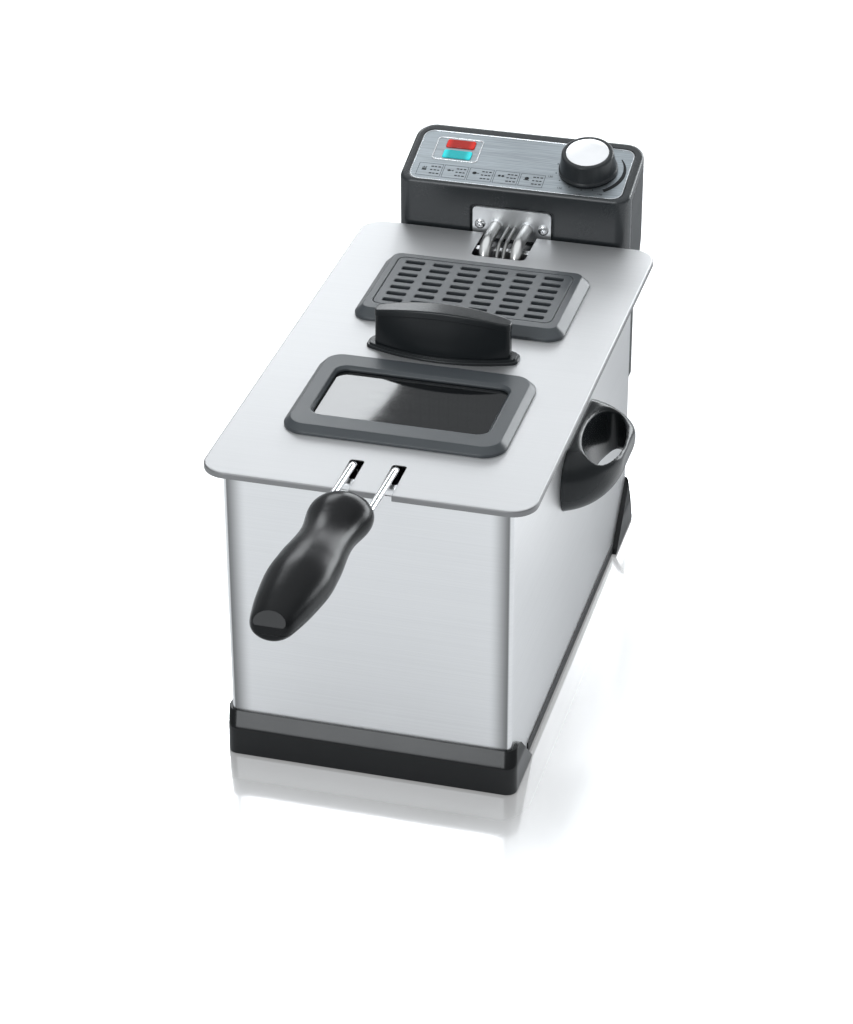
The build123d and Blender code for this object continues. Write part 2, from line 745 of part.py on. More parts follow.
def lens_outline(place, grow=0.0):
    """A lens's outline on the slope."""
    size = (LENS_SIZE[0] + 2 * grow, LENS_SIZE[1] + 2 * grow)
    return Pos(*place) * RectangleRounded(size[0], size[1], LENS_CORNER)


def tube_spots(y):
    """Where the heating element's two legs cross an upright plane."""
    return [(x, y, TUBE_EXIT_Z) for x in (-TUBE_X, TUBE_X)]


def capillary_spots(y):
    """Where the two sensor tubes cross an upright plane."""
    return [(x, y, CAPILLARY_Z) for x in (-CAPILLARY_X, CAPILLARY_X)]


def plate_screw_spots(y):
    """Where the element plate's screws cross an upright plane."""
    return [(x, y, PLATE_SCREW_Z) for x in (-PLATE_SCREW_X, PLATE_SCREW_X)]


def boss_spots(y):
    """Where the rear cover's screws cross an upright plane."""
    return [(x, y, z) for x in (-BOSS_X, BOSS_X) for z in BOSS_Z]


def upright_plate(half_width, bottom, top, corner, y0, y1):
    """A plate standing across the object, with rounded corners."""
    outline = Plane.XZ * RectangleRounded(2 * half_width, top - bottom, corner)
    return Pos(0, y1, (bottom + top) / 2) * extrude(outline, y1 - y0)


def control_front_shell():
    shell = unit_walls() & front_zone(0)
    inner_front = HEAD_FRONT + UNIT_WALL
    for spot in plate_screw_spots(inner_front):
        shell += rod(spot, (0, 1, 0), BOSS_DIAMETER, PLATE_BOSS_LENGTH)
    for spot in boss_spots(UNIT_FRONT + UNIT_WALL):
        shell += rod(spot, (0, 1, 0), BOSS_DIAMETER, UNIT_SEAM_Y - UNIT_FRONT - UNIT_WALL)
    groove_depth = HOUSING_REAR + RAIL_DEPTH + RAIL_ROOM
    groove_top = RAIL_TOP + RAIL_ROOM
    groove_half = RAIL_WIDTH / 2 + RAIL_ROOM
    for x in (-RAIL_X, RAIL_X):
        wall = RAIL_BLOCK_WALL
        shell += block(
            x - groove_half - wall, x + groove_half + wall, UNIT_FRONT + UNIT_WALL / 2, groove_depth + wall,
            UNIT_BOTTOM + UNIT_WALL / 2, groove_top + wall,
        )
        mouth_y = UNIT_FRONT - PAST
        mouth_z = UNIT_BOTTOM - PAST
        shell -= block(x - groove_half, x + groove_half, mouth_y, groove_depth, mouth_z, groove_top)
    shell -= rod((-RAIL_X, PIN_Y, RAIL_TOP), (0, 0, 1), PIN_HOLE, PIN_LENGTH)
    shell -= on_slope(0, 0, -PANEL_SINK - PANEL_THICKNESS) * extrude(panel_outline(PANEL_ROOM), FAR)
    for place in lens_places():
        shell -= on_slope(0, 0, -UNIT_TOP_PIECE) * extrude(lens_outline(place, PANEL_ROOM), UNIT_TOP_PIECE)
    bush_hole = Cylinder(BUSH_HOLE / 2, UNIT_TOP_PIECE, align=FROM_BOTTOM)
    shell -= on_slope(KNOB_X, KNOB_UP, -UNIT_TOP_PIECE) * bush_hole
    margin = PLATE_POCKET_MARGIN
    plate_back = HEAD_FRONT + PLATE_SINK + PLATE_THICKNESS
    shell -= upright_plate(
        PLATE_HALF_WIDTH + margin, UNIT_SHELF, PLATE_TOP + margin, PLATE_CORNER, HEAD_FRONT - PAST, plate_back
    )
    for spot in tube_spots(HEAD_FRONT):
        shell -= rod(spot, (0, 1, 0), TUBE_DIAMETER + 4 * PANEL_ROOM, 2 * UNIT_WALL)
    for spot in capillary_spots(HEAD_FRONT):
        shell -= rod(spot, (0, 1, 0), CAPILLARY_DIAMETER + 4 * PANEL_ROOM, 2 * UNIT_WALL)
    for spot in plate_screw_spots(HEAD_FRONT + PLATE_SINK):
        shell -= screw_hole(spot, (0, 1, 0), PAN_SCREW)
    for spot in boss_spots(UNIT_SEAM_Y):
        shell -= rod(spot, (0, -1, 0), COVER_SCREW[2] + 2 * SCREW_ROOM, COVER_SCREW[3])
    return shell


def control_rear_cover():
    cover = unit_walls() - front_zone(UNIT_SEAM_GAP)
    well_start = UNIT_SEAM_Y + UNIT_SEAM_GAP
    length = HEAD_REAR - well_start
    outside = unit_form(0, 0)
    for spot in boss_spots(well_start):
        cover += rod(spot, (0, 1, 0), WELL_DIAMETER, length) & outside
    for spot in boss_spots(well_start + WELL_FLOOR):
        cover -= rod(spot, (0, 1, 0), COVER_SCREW[0] + 4 * SCREW_ROOM, length)
    for spot in boss_spots(well_start):
        cover -= rod(spot, (0, 1, 0), COVER_SCREW[2] + 2 * SCREW_ROOM, WELL_FLOOR)
    wall_start = UNIT_LOWER_REAR - 2 * UNIT_WALL
    cover -= rod((GLAND_X, wall_start, GLAND_Z), (0, 1, 0), GLAND_HOLE, 3 * UNIT_WALL)
    button_hole = RESET_DIAMETER + 2 * RESET_CLEARANCE
    cover -= rod((RESET_X, wall_start, RESET_Z), (0, 1, 0), button_hole, 3 * UNIT_WALL)
    vent = RectangleRounded(COVER_VENT[0], COVER_VENT[1], COVER_VENT[0] * SLOT_ROUNDING)
    vent = extrude(Plane.XZ * vent, -FAR)
    for index in range(COVER_VENTS):
        offset = (index - (COVER_VENTS - 1) / 2) * COVER_VENT_PITCH
        cover -= Pos(offset, wall_start, COVER_VENT_Z) * vent
    return cover


def rear_cover_screws():
    start = UNIT_SEAM_Y + UNIT_SEAM_GAP + WELL_FLOOR
    return group([screw(spot, (0, -1, 0), COVER_SCREW) for spot in boss_spots(start)])


def control_panel():
    panel = extrude(panel_outline(), PANEL_THICKNESS)
    for place in lens_places():
        panel -= extrude(lens_outline(place, PANEL_ROOM), PANEL_THICKNESS)
    panel -= Pos(KNOB_X, KNOB_UP, 0) * Cylinder(BUSH_HOLE / 2, PANEL_THICKNESS, align=FROM_BOTTOM)
    return on_slope(0, 0, -PANEL_SINK - PANEL_THICKNESS) * panel


def lamp_lens(place):
    """A lamp lens: a crowned window with a flange under the head's top."""
    lens = extrude(lens_outline(place), LENS_DEPTH - PANEL_SINK + LENS_PROUD)
    lens = fillet(lens.edges().group_by(Axis.Z)[-1], LENS_CROWN)
    lens += extrude(lens_outline(place, LENS_FLANGE), LENS_DEPTH - UNIT_TOP_WALL - PANEL_ROOM)
    return on_slope(0, 0, -LENS_DEPTH) * lens


def red_lens():
    return lamp_lens(lens_places()[0])


def green_lens():
    return lamp_lens(lens_places()[1])


def neon_bar(place, diameter, length):
    """A bar under a lens, along the control panel."""
    out = -LENS_DEPTH - NEON_SINK
    start = on_slope(place[0] - length / 2, place[1], out)
    return start * Rotation(0, 90, 0) * Cylinder(diameter / 2, length, align=FROM_BOTTOM)


def lamp_holder():
    width, depth, height = HOLDER_SIZE
    middle = sum(LENS_UP) / 2
    holder = on_slope(LENS_X, middle, -LENS_DEPTH - height) * Box(width, depth, height, align=FROM_BOTTOM)
    for place in lens_places():
        holder -= neon_bar(place, NEON_DIAMETER + 4 * PANEL_ROOM, width - 2 * LENS_FLANGE)
        opening = extrude(lens_outline(place, -LENS_FLANGE), NEON_SINK)
        holder -= on_slope(0, 0, -LENS_DEPTH - NEON_SINK) * opening
    return holder


def neon_lamps():
    return group([fillet_ends(neon_bar(place, NEON_DIAMETER, NEON_LENGTH)) for place in lens_places()])


def fillet_ends(bar):
    """A glass bar with its two ends rounded over."""
    return fillet(bar.edges().filter_by(GeomType.CIRCLE), NEON_DIAMETER * HEAD_ROUNDING)


def thermostat_body():
    width, depth, height = THERMOSTAT_BODY
    body = Box(width, depth, height, align=FROM_BOTTOM)
    body = Pos(0, 0, -UNIT_TOP_WALL - height) * fillet(body.edges().filter_by(Axis.Z), THERMOSTAT_CORNER)
    bush = Cylinder(BUSH_DIAMETER / 2, UNIT_TOP_WALL + BUSH_TOP, align=FROM_BOTTOM)
    body += Pos(0, 0, -UNIT_TOP_WALL) * bush
    for x in (-width / 4, width / 4):
        tab = Box(TERMINAL_TAB[0], TERMINAL_TAB[1], TERMINAL_TAB[2], align=FROM_BOTTOM)
        body += Pos(x, 0, -UNIT_TOP_WALL - height - TERMINAL_TAB[2]) * tab
    bore_low = SPINDLE_LOW - PAST
    bore = Cylinder(SPINDLE_DIAMETER / 2 + SPINDLE_CLEARANCE, BUSH_TOP - bore_low, align=FROM_BOTTOM)
    body -= Pos(0, 0, bore_low) * bore
    return on_slope(KNOB_X, KNOB_UP) * body


def thermostat_nut():
    nut = extrude(RegularPolygon(NUT_ACROSS / 2, 6, major_radius=False), NUT_HEIGHT)
    nut -= Cylinder(BUSH_DIAMETER / 2 + SCREW_ROOM, NUT_HEIGHT, align=FROM_BOTTOM)
    return on_slope(KNOB_X, KNOB_UP, -PANEL_SINK) * nut


def turned(points):
    """A solid turned about the knob's axis, from points (radius, height)."""
    face = make_face(Polyline(*[(r, 0, z) for r, z in points], close=True))
    return on_slope(KNOB_X, KNOB_UP) * revolve(face, Axis.Z)


def thermostat_knob():
    base = KNOB_BASE_DIAMETER / 2
    top = KNOB_TOP_DIAMETER / 2
    seat = KNOB_CAP_DIAMETER / 2 + SCREW_ROOM
    floor = KNOB_HEIGHT - KNOB_CAP_SINK
    bore = SPINDLE_DIAMETER / 2 + SPINDLE_CLEARANCE
    spindle_top = floor - KNOB_WALL / 2
    boss_low = BUSH_TOP + KNOB_GAP
    outer = [
        (base, KNOB_GAP),
        (base, KNOB_SKIRT - KNOB_EDGE),
        (base - KNOB_EDGE, KNOB_SKIRT),
        (top, KNOB_HEIGHT - KNOB_EDGE),
        (top - KNOB_EDGE, KNOB_HEIGHT),
        (seat, KNOB_HEIGHT),
        (seat, floor),
        (0, floor),
    ]
    inner = [
        (0, spindle_top),
        (bore, spindle_top),
        (bore, boss_low),
        (KNOB_BOSS / 2, boss_low),
        (KNOB_BOSS / 2, floor - KNOB_WALL),
        (top - KNOB_WALL, floor - KNOB_WALL),
        (base - KNOB_WALL - KNOB_EDGE, KNOB_GAP),
    ]
    return turned(outer + inner)


def knob_cap():
    radius = KNOB_CAP_DIAMETER / 2
    dome_radius = (radius**2 + KNOB_CAP_CROWN**2) / (2 * KNOB_CAP_CROWN)
    crest = KNOB_HEIGHT + KNOB_CAP_CROWN
    disc = Pos(0, 0, KNOB_HEIGHT - KNOB_CAP_SINK) * Cylinder(radius, radius, align=FROM_BOTTOM)
    return on_slope(KNOB_X, KNOB_UP) * (disc & Pos(0, 0, crest - dome_radius) * Sphere(dome_radius))


def thermostat_spindle():
    top = KNOB_HEIGHT - KNOB_CAP_SINK - KNOB_WALL / 2 - SCREW_ROOM
    flat_low = BUSH_TOP + KNOB_GAP
    bar = Pos(0, 0, SPINDLE_LOW) * Cylinder(SPINDLE_DIAMETER / 2, top - SPINDLE_LOW, align=FROM_BOTTOM)
    radius = SPINDLE_DIAMETER / 2
    bar -= block(-radius, radius, radius - SPINDLE_FLAT, radius, flat_low, top)
    return on_slope(KNOB_X, KNOB_UP) * bar


def element_plate():
    front = HEAD_FRONT + PLATE_SINK
    back = front + PLATE_THICKNESS
    plate = upright_plate(PLATE_HALF_WIDTH, PLATE_BOTTOM, PLATE_TOP, PLATE_CORNER, front, back)
    start = front - PAST
    holes = (
        (tube_spots(start), TUBE_DIAMETER),
        (capillary_spots(start), CAPILLARY_DIAMETER),
        (plate_screw_spots(start), PAN_SCREW[2]),
    )
    for spots, diameter in holes:
        for spot in spots:
            plate -= rod(spot, (0, 1, 0), diameter + 2 * SCREW_ROOM, PLATE_THICKNESS + 2 * PAST)
    return plate


def element_screws():
    return group([screw(spot, (0, 1, 0), PAN_SCREW) for spot in plate_screw_spots(HEAD_FRONT + PLATE_SINK)])


def heating_element():
    half_route = [
        (TUBE_X, TUBE_END_Y, TUBE_EXIT_Z),
        (TUBE_X, TUBE_DROP_Y, TUBE_EXIT_Z),
        (TUBE_X, TUBE_DROP_Y, TUBE_LOOP_Z),
        (TUBE_X, TUBE_LOOP_REAR, TUBE_LOOP_Z),
        (TUBE_LOOP_OUTER, TUBE_LOOP_REAR, TUBE_LOOP_Z),
        (TUBE_LOOP_OUTER, TUBE_LOOP_FRONT, TUBE_LOOP_Z),
        (TUBE_LOOP_INNER, TUBE_LOOP_FRONT, TUBE_LOOP_Z),
        (TUBE_LOOP_INNER, TUBE_LOOP_RETURN, TUBE_LOOP_Z),
    ]
    other_half = [(-x, y, z) for x, y, z in reversed(half_route)]
    element = wire(half_route + other_half, TUBE_DIAMETER, TUBE_BEND)
    for spot in tube_spots(TUBE_END_Y):
        element += rod(spot, (0, 1, 0), *TERMINAL_PIN)
    return element


def element_ferrules():
    rings = []
    for spot in tube_spots(HEAD_FRONT + PLATE_SINK - FERRULE_LENGTH):
        ring = rod(spot, (0, 1, 0), FERRULE_DIAMETER, FERRULE_LENGTH)
        rings.append(ring - rod(spot, (0, 1, 0), TUBE_DIAMETER + 2 * SCREW_ROOM, FERRULE_LENGTH))
    return group(rings)


def sensor_tubes():
    tubes = []
    for side in (-1, 1):
        x = side * CAPILLARY_X
        bulb_start = (side * BULB_X, BULB_REAR, CAPILLARY_FOOT_Z)
        route = [
            (x, TUBE_END_Y, CAPILLARY_Z),
            (x, CAPILLARY_DROP_Y, CAPILLARY_Z),
            (x, CAPILLARY_DROP_Y, CAPILLARY_FOOT_Z),
            bulb_start,
        ]
        bulb = rod(bulb_start, (0, -1, 0), BULB_DIAMETER, BULB_LENGTH)
        tubes.append(wire(route, CAPILLARY_DIAMETER, CAPILLARY_BEND) + bulb)
    return group(tubes)


def sensor_guard():
    width, depth, thickness = GUARD_SIZE
    guard = Pos(0, TUBE_DROP_Y, GUARD_Z) * Box(width, depth, thickness, align=FROM_BOTTOM)
    holes = ((TUBE_X, TUBE_DROP_Y, TUBE_DIAMETER), (CAPILLARY_X, CAPILLARY_DROP_Y, CAPILLARY_DIAMETER))
    for x, y, diameter in holes:
        for hole in both_sides(rod((x, y, GUARD_Z), (0, 0, 1), diameter + 2 * SCREW_ROOM, thickness)):
            guard -= hole
    return guard


def thermal_cutout():
    rear = UNIT_LOWER_REAR - UNIT_WALL - RESET_FLANGE[1] - RESET_TRAVEL - CUTOUT_GAP
    body = rod((RESET_X, rear, RESET_Z), (0, -1, 0), CUTOUT_DIAMETER, CUTOUT_LENGTH)
    half = CUTOUT_EAR[0] / 2
    floor = UNIT_BOTTOM + UNIT_WALL
    foot = block(RESET_X - half, RESET_X + half, rear - CUTOUT_EAR[1], rear, floor, RESET_Z)
    return body + foot


def reset_button():
    inner = UNIT_LOWER_REAR - UNIT_WALL - RESET_FLANGE[1] - SCREW_ROOM
    flange = rod((RESET_X, inner, RESET_Z), (0, 1, 0), *RESET_FLANGE)
    length = UNIT_LOWER_REAR + RESET_PROUD - inner
    stem = rod((RESET_X, inner, RESET_Z), (0, 1, 0), RESET_DIAMETER, length)
    stem = fillet(stem.edges().sort_by(Axis.Y)[-1], RESET_EDGE)
    return flange + stem


def cord_gland():
    inner_start = UNIT_LOWER_REAR - UNIT_WALL - GLAND_INNER[1]
    length = GLAND_INNER[1] + UNIT_WALL + GLAND_FLANGE[1]
    start = (GLAND_X, inner_start, GLAND_Z)
    gland = rod(start, (0, 1, 0), GLAND_BODY, length)
    gland += rod(start, (0, 1, 0), *GLAND_INNER)
    flange = rod((GLAND_X, UNIT_LOWER_REAR, GLAND_Z), (0, 1, 0), *GLAND_FLANGE)
    gland += fillet(flange.edges().sort_by(Axis.Y)[-1], GLAND_EDGE)
    return gland - rod(start, (0, 1, 0), GLAND_BORE, length)


def interlock_switch():
    width, depth, height = SWITCH_SIZE
    low = RAIL_TOP + PIN_LENGTH + SWITCH_GAP
    front = UNIT_FRONT + UNIT_WALL
    body = block(-RAIL_X - width / 2, -RAIL_X + width / 2, front, front + depth, low, low + height)
    for x in (-width / 4, width / 4):
        tab = Box(TERMINAL_TAB[0], TERMINAL_TAB[2], TERMINAL_TAB[1])
        body += Pos(-RAIL_X + x, front + depth + TERMINAL_TAB[2] / 2, low + height / 2) * tab
    return body


def terminal_block():
    width, depth, height = TERMINAL_SIZE
    low = UNIT_BOTTOM + UNIT_WALL
    block_body = Pos(0, TERMINAL_Y, low) * Box(width, depth, height, align=FROM_BOTTOM)
    pitch = width / TERMINAL_WAYS
    for index in range(TERMINAL_WAYS):
        x = (index - (TERMINAL_WAYS - 1) / 2) * pitch
        block_body -= rod((x, TERMINAL_Y, low + height), (0, 0, -1), TERMINAL_SCREW, height / 2)
        block_body -= rod((x, TERMINAL_Y - depth, low + height / 3), (0, 1, 0), TERMINAL_WIRE, 2 * depth)
    return block_body


# Basket


def net(width, height, cells):
    """A flat wire net: one sheet with square gaps."""
    pitches = [(side - 2 * NET_MARGIN + NET_BAR) / count for side, count in zip((width, height), cells)]
    gap = [pitch - NET_BAR for pitch in pitches]
    gaps = []
    for column in range(cells[0]):
        for row in range(cells[1]):
            x = (column - (cells[0] - 1) / 2) * pitches[0]
            y = (row - (cells[1] - 1) / 2) * pitches[1]
            gaps.append((Pos(x, y, 0) * Rectangle(*gap)).wire())
    return extrude(Face(Rectangle(width, height).wire(), gaps), NET_THICKNESS)


def basket_floor_net():
    width = 2 * BASKET_HALF_WIDTH - NET_THICKNESS
    depth = BASKET_REAR - BASKET_FRONT - NET_THICKNESS
    middle = Pos(0, (BASKET_FRONT + BASKET_REAR) / 2, BASKET_FLOOR)
    return middle * net(width, depth, NET_FLOOR_CELLS)


def basket_side_nets():
    low = BASKET_FLOOR + NET_THICKNESS
    high = BASKET_RIM_Z - BASKET_RIM_WIRE / 2
    middle_y = (BASKET_FRONT + BASKET_REAR) / 2
    middle_z = (low + high) / 2
    long_side = net(BASKET_REAR - BASKET_FRONT + NET_THICKNESS, high - low, NET_SIDE_CELLS)
    short_side = net(2 * BASKET_HALF_WIDTH - NET_THICKNESS, high - low, NET_END_CELLS)
    half = NET_THICKNESS / 2
    nets = []
    for x in (-BASKET_HALF_WIDTH, BASKET_HALF_WIDTH):
        plane = Plane(origin=(x - half, middle_y, middle_z), x_dir=(0, 1, 0), z_dir=(1, 0, 0))
        nets.append(plane * long_side)
    for y in (BASKET_FRONT, BASKET_REAR):
        plane = Plane(origin=(0, y + half, middle_z), x_dir=(1, 0, 0), z_dir=(0, -1, 0))
        nets.append(plane * short_side)
    return group(nets)


def basket_rim():
    return ring_wire(
        BASKET_HALF_WIDTH, BASKET_FRONT, BASKET_REAR, BASKET_RIM_CORNER, BASKET_RIM_Z, BASKET_RIM_WIRE
    )


def basket_base_ring():
    inset = BASE_RING_INSET
    return ring_wire(
        BASKET_HALF_WIDTH - inset, BASKET_FRONT + inset, BASKET_REAR - inset, BASKET_RIM_CORNER,
        BASKET_FLOOR - BASE_RING_WIRE / 2, BASE_RING_WIRE,
    )


def drain_hooks():
    hooks = []
    near = BASKET_REAR + BASKET_RIM_WIRE / 2 + HOOK_WIRE / 2
    far = near + HOOK_REACH
    for x in (-HOOK_X, HOOK_X):
        route = [(x, near, HOOK_LOW), (x, near, HOOK_TOP), (x, far, HOOK_TOP), (x, far, HOOK_TOP - HOOK_TIP)]
        hooks.append(wire(route, HOOK_WIRE, HOOK_BEND))
    return group(hooks)


def bracket_back():
    """The bracket's rear face, against the basket's rim wire."""
    return BASKET_FRONT - BASKET_RIM_WIRE / 2


def handle_wire_y():
    """Distance back of the handle wires' upright runs, against the bracket's front."""
    return bracket_back() - BRACKET_THICKNESS - HANDLE_WIRE / 2


def handle_bracket():
    back = bracket_back()
    front = back - BRACKET_THICKNESS
    return upright_plate(BRACKET_HALF_WIDTH, BRACKET_BOTTOM, BRACKET_TOP, BRACKET_CORNER, front, back)


def handle_wire_routes(longer=0.0):
    """The two handle wires: up the basket's front, over the tank's rim and out into the grip."""
    y = handle_wire_y()
    low = BRACKET_BOTTOM + HANDLE_WIRE
    end = HANDLE_WIRE_END - longer
    end_z = HANDLE_WIRE_Z + HANDLE_WIRE_RISE * (y - end) / (y - HANDLE_WIRE_END)
    return [[(x, y, low), (x, y, HANDLE_WIRE_Z), (x, end, end_z)] for x in (-WIRE_X, WIRE_X)]


def handle_wires():
    return group([wire(route, HANDLE_WIRE, HANDLE_WIRE_BEND) for route in handle_wire_routes()])


def grip_height(distance):
    """Height of the grip's axis at a distance in front of the lid."""
    start = GRIP_SECTIONS[0][0]
    return GRIP_Z + GRIP_RISE * (distance - start) / (GRIP_SECTIONS[-1][0] - start)


def grip_form():
    rings = []
    for distance, half_width, half_height in GRIP_SECTIONS:
        plane = Plane(origin=(0, -distance, grip_height(distance)), x_dir=(1, 0, 0), z_dir=(0, -1, 0))
        rings.append(plane * Ellipse(half_width, half_height))
    form = loft(rings)
    facet = Plane(origin=(0, -GRIP_FACET_AT, GRIP_Z + GRIP_FACET_UP), x_dir=(1, 0, 0), z_dir=GRIP_FACET_OUT)
    form -= facet * Box(FAR, FAR, FAR, align=FROM_BOTTOM)
    for route in handle_wire_routes(HANDLE_WIRE):
        form -= wire(route, HANDLE_WIRE + 2 * SCREW_ROOM, HANDLE_WIRE_BEND)
    for spot in grip_screw_spots():
        form -= screw_hole(spot, (0, 0, 1), GRIP_SCREW)
        form -= rod(spot, (0, 0, -1), GRIP_SCREW[0] + 4 * SCREW_ROOM, GRIP_Z)
    return form


def grip_screw_spots():
    """Underside of each grip screw's head, in its recess under the grip."""
    return [(0, -distance, grip_height(distance) - GRIP_SCREW_DROP) for distance in GRIP_SCREW_SPOTS]


def above_grip_seam(drop):
    """The room above the plane where the grip's halves meet, which rises with the grip."""
    near, far = GRIP_SECTIONS[0][0], GRIP_SECTIONS[-1][0]
    rise = (grip_height(far) - grip_height(near)) / (far - near)
    plane = Plane(origin=(0, -near, GRIP_Z - drop), x_dir=(1, 0, 0), z_dir=(0, rise, 1))
    return plane * Box(FAR, FAR, FAR, align=FROM_BOTTOM)


def grip_upper():
    return grip_form() & above_grip_seam(GRIP_SPLIT_DROP)


def grip_lower():
    return grip_form() - above_grip_seam(GRIP_SPLIT_DROP + GRIP_SEAM)


def grip_screws():
    return group([screw(spot, (0, 0, 1), GRIP_SCREW) for spot in grip_screw_spots()])


# Lid


def grown(size, amount):
    """A width and depth, both made larger by amount all round."""
    return (size[0] + 2 * amount, size[1] + 2 * amount)


def lid_screw_spots():
    """Underside of each lid handle screw's head, against the lid's underside."""
    return [(x, LID_HANDLE_Y, LID_UNDER) for x in (-LID_HANDLE_SCREW_X, LID_HANDLE_SCREW_X)]


def lid_panel():
    low = LID_TOP - LID_RIM
    middle = LID_DEPTH / 2
    lid = slab((LID_WIDTH, LID_DEPTH), LID_CORNER, middle, low, LID_TOP)
    lid = fillet(lid.edges().group_by(Axis.Z)[-1], LID_EDGE_RADIUS)
    lid -= slab(grown((LID_WIDTH, LID_DEPTH), -LID_SHEET), LID_CORNER - LID_SHEET, middle, low, LID_UNDER)
    lid -= slab(grown(GLASS, GLASS_ROOM), GLASS_CORNER + GLASS_ROOM, WINDOW_Y, low, LID_TOP)
    lid -= slab(grown(GRILLE, GLASS_ROOM - FILTER_HOLE_INSET), GRILLE_CORNER, GRILLE_Y, low, LID_TOP)
    slot = extrude(RectangleRounded(WIRE_SLOT_WIDTH, 2 * WIRE_SLOT_LENGTH, WIRE_SLOT_CORNER), LID_RIM)
    for x in (-WIRE_X, WIRE_X):
        lid -= Pos(x, 0, low) * slot
    notch = extrude(RectangleRounded(NOTCH_WIDTH, 2 * NOTCH_LENGTH, NOTCH_CORNER), LID_RIM)
    lid -= Pos(0, LID_DEPTH, low) * notch
    for spot in lid_screw_spots():
        lid -= screw_hole(spot, (0, 0, 1), LID_SCREW)
    return lid


def bevelled_frame(size, corner, y, height, bevel):
    """A raised cover with sloping edges, standing on the lid."""
    cover = slab(size, corner, y, LID_TOP, LID_TOP + height)
    return chamfer(cover.edges().group_by(Axis.Z)[-1], bevel)


def window_frame():
    height = WINDOW_FRAME_HEIGHT
    top = LID_TOP + height
    corner = WINDOW_OPENING_CORNER
    bevel = WINDOW_LIP_BEVEL
    frame = bevelled_frame(WINDOW_FRAME, WINDOW_FRAME_CORNER, WINDOW_Y, height, WINDOW_FRAME_BEVEL)
    frame -= slab(WINDOW_OPENING, corner, WINDOW_Y, LID_TOP, top)
    mouth = Pos(0, WINDOW_Y, top) * RectangleRounded(*grown(WINDOW_OPENING, bevel), corner + bevel)
    throat = Pos(0, WINDOW_Y, top - bevel) * RectangleRounded(*WINDOW_OPENING, corner)
    frame -= loft([mouth, throat], ruled=True)
    rebate_top = LID_UNDER + GLASS_THICKNESS + GLASS_ROOM / 2
    frame -= slab(grown(GLASS, GLASS_ROOM), GLASS_CORNER + GLASS_ROOM, WINDOW_Y, LID_TOP, rebate_top)
    return frame


def window_glass():
    glass = slab(GLASS, GLASS_CORNER, WINDOW_Y, LID_UNDER, LID_UNDER + GLASS_THICKNESS)
    return chamfer(glass.edges().group_by(Axis.Z)[-1], GLASS_EDGE)


def window_seal():
    low = LID_UNDER - SEAL_THICKNESS
    seal = slab(GLASS, GLASS_CORNER, WINDOW_Y, low, LID_UNDER)
    return seal - slab(grown(GLASS, -SEAL_WIDTH), GLASS_CORNER - SEAL_WIDTH, WINDOW_Y, low, LID_UNDER)


def window_clamp():
    low = LID_UNDER - SEAL_THICKNESS - CLAMP_THICKNESS
    clamp = slab(grown(GLASS, CLAMP_BORDER), GLASS_CORNER + CLAMP_BORDER, WINDOW_Y, low, LID_UNDER)
    pocket = grown(GLASS, GLASS_ROOM)
    clamp -= slab(pocket, GLASS_CORNER + GLASS_ROOM, WINDOW_Y, LID_UNDER - SEAL_THICKNESS, LID_UNDER)
    return clamp - slab(grown(GLASS, -SEAL_WIDTH), GLASS_CORNER - SEAL_WIDTH, WINDOW_Y, low, LID_UNDER)


def filter_frame():
    height = FILTER_FRAME_HEIGHT
    top = LID_TOP + height
    frame = bevelled_frame(FILTER_FRAME, FILTER_FRAME_CORNER, FILTER_Y, height, FILTER_FRAME_BEVEL)
    seat = grown(GRILLE, GRILLE_SEAM)
    frame -= slab(seat, GRILLE_CORNER + GRILLE_SEAM, GRILLE_Y, top - GRILLE_THICKNESS, top)
    return frame - slab(grown(GRILLE, -FILTER_HOLE_INSET), GRILLE_CORNER, GRILLE_Y, LID_TOP, top)


def filter_grille():
    top = LID_TOP + FILTER_FRAME_HEIGHT
    grille = slab(GRILLE, GRILLE_CORNER, GRILLE_Y, top - GRILLE_THICKNESS, top)
    gap = extrude(RectangleRounded(GRILLE_SLOT[0], GRILLE_SLOT[1], GRILLE_SLOT_CORNER), GRILLE_THICKNESS)
    slots = GridLocations(GRILLE_PITCH_X, GRILLE_PITCH_Y, GRILLE_COLUMNS, GRILLE_ROWS)
    for place in slots:
        grille -= Pos(0, GRILLE_Y, top - GRILLE_THICKNESS) * place * gap
    return grille


def filter_tray():
    size = grown(GRILLE, -FILTER_HOLE_INSET - GLASS_ROOM / 2)
    low = LID_TOP - TRAY_THICKNESS
    tray = slab(size, GRILLE_CORNER, GRILLE_Y, low, LID_TOP)
    for place in GridLocations(GRILLE_PITCH_X, 2 * GRILLE_PITCH_Y, GRILLE_COLUMNS - 1, GRILLE_ROWS // 2):
        tray -= Pos(0, GRILLE_Y, low) * place * Cylinder(TRAY_HOLE / 2, TRAY_THICKNESS, align=FROM_BOTTOM)
    return tray


def filter_mat():
    size = grown(GRILLE, -FILTER_HOLE_INSET - GLASS_ROOM)
    return slab(size, GRILLE_CORNER, GRILLE_Y, LID_TOP, LID_TOP + MAT_THICKNESS)


def lens_face(half_length, half_width, end, corner):
    """A plan outline with two bowed sides, short straight ends and rounded corners."""
    front = ThreePointArc((-half_length, -end), (0, -half_width), (half_length, -end))
    rear = ThreePointArc((half_length, end), (0, half_width), (-half_length, end))
    ends = [Line((half_length, -end), (half_length, end)), Line((-half_length, end), (-half_length, -end))]
    face = make_face([front.edge(), ends[0].edge(), rear.edge(), ends[1].edge()])
    return fillet(face.vertices(), corner)


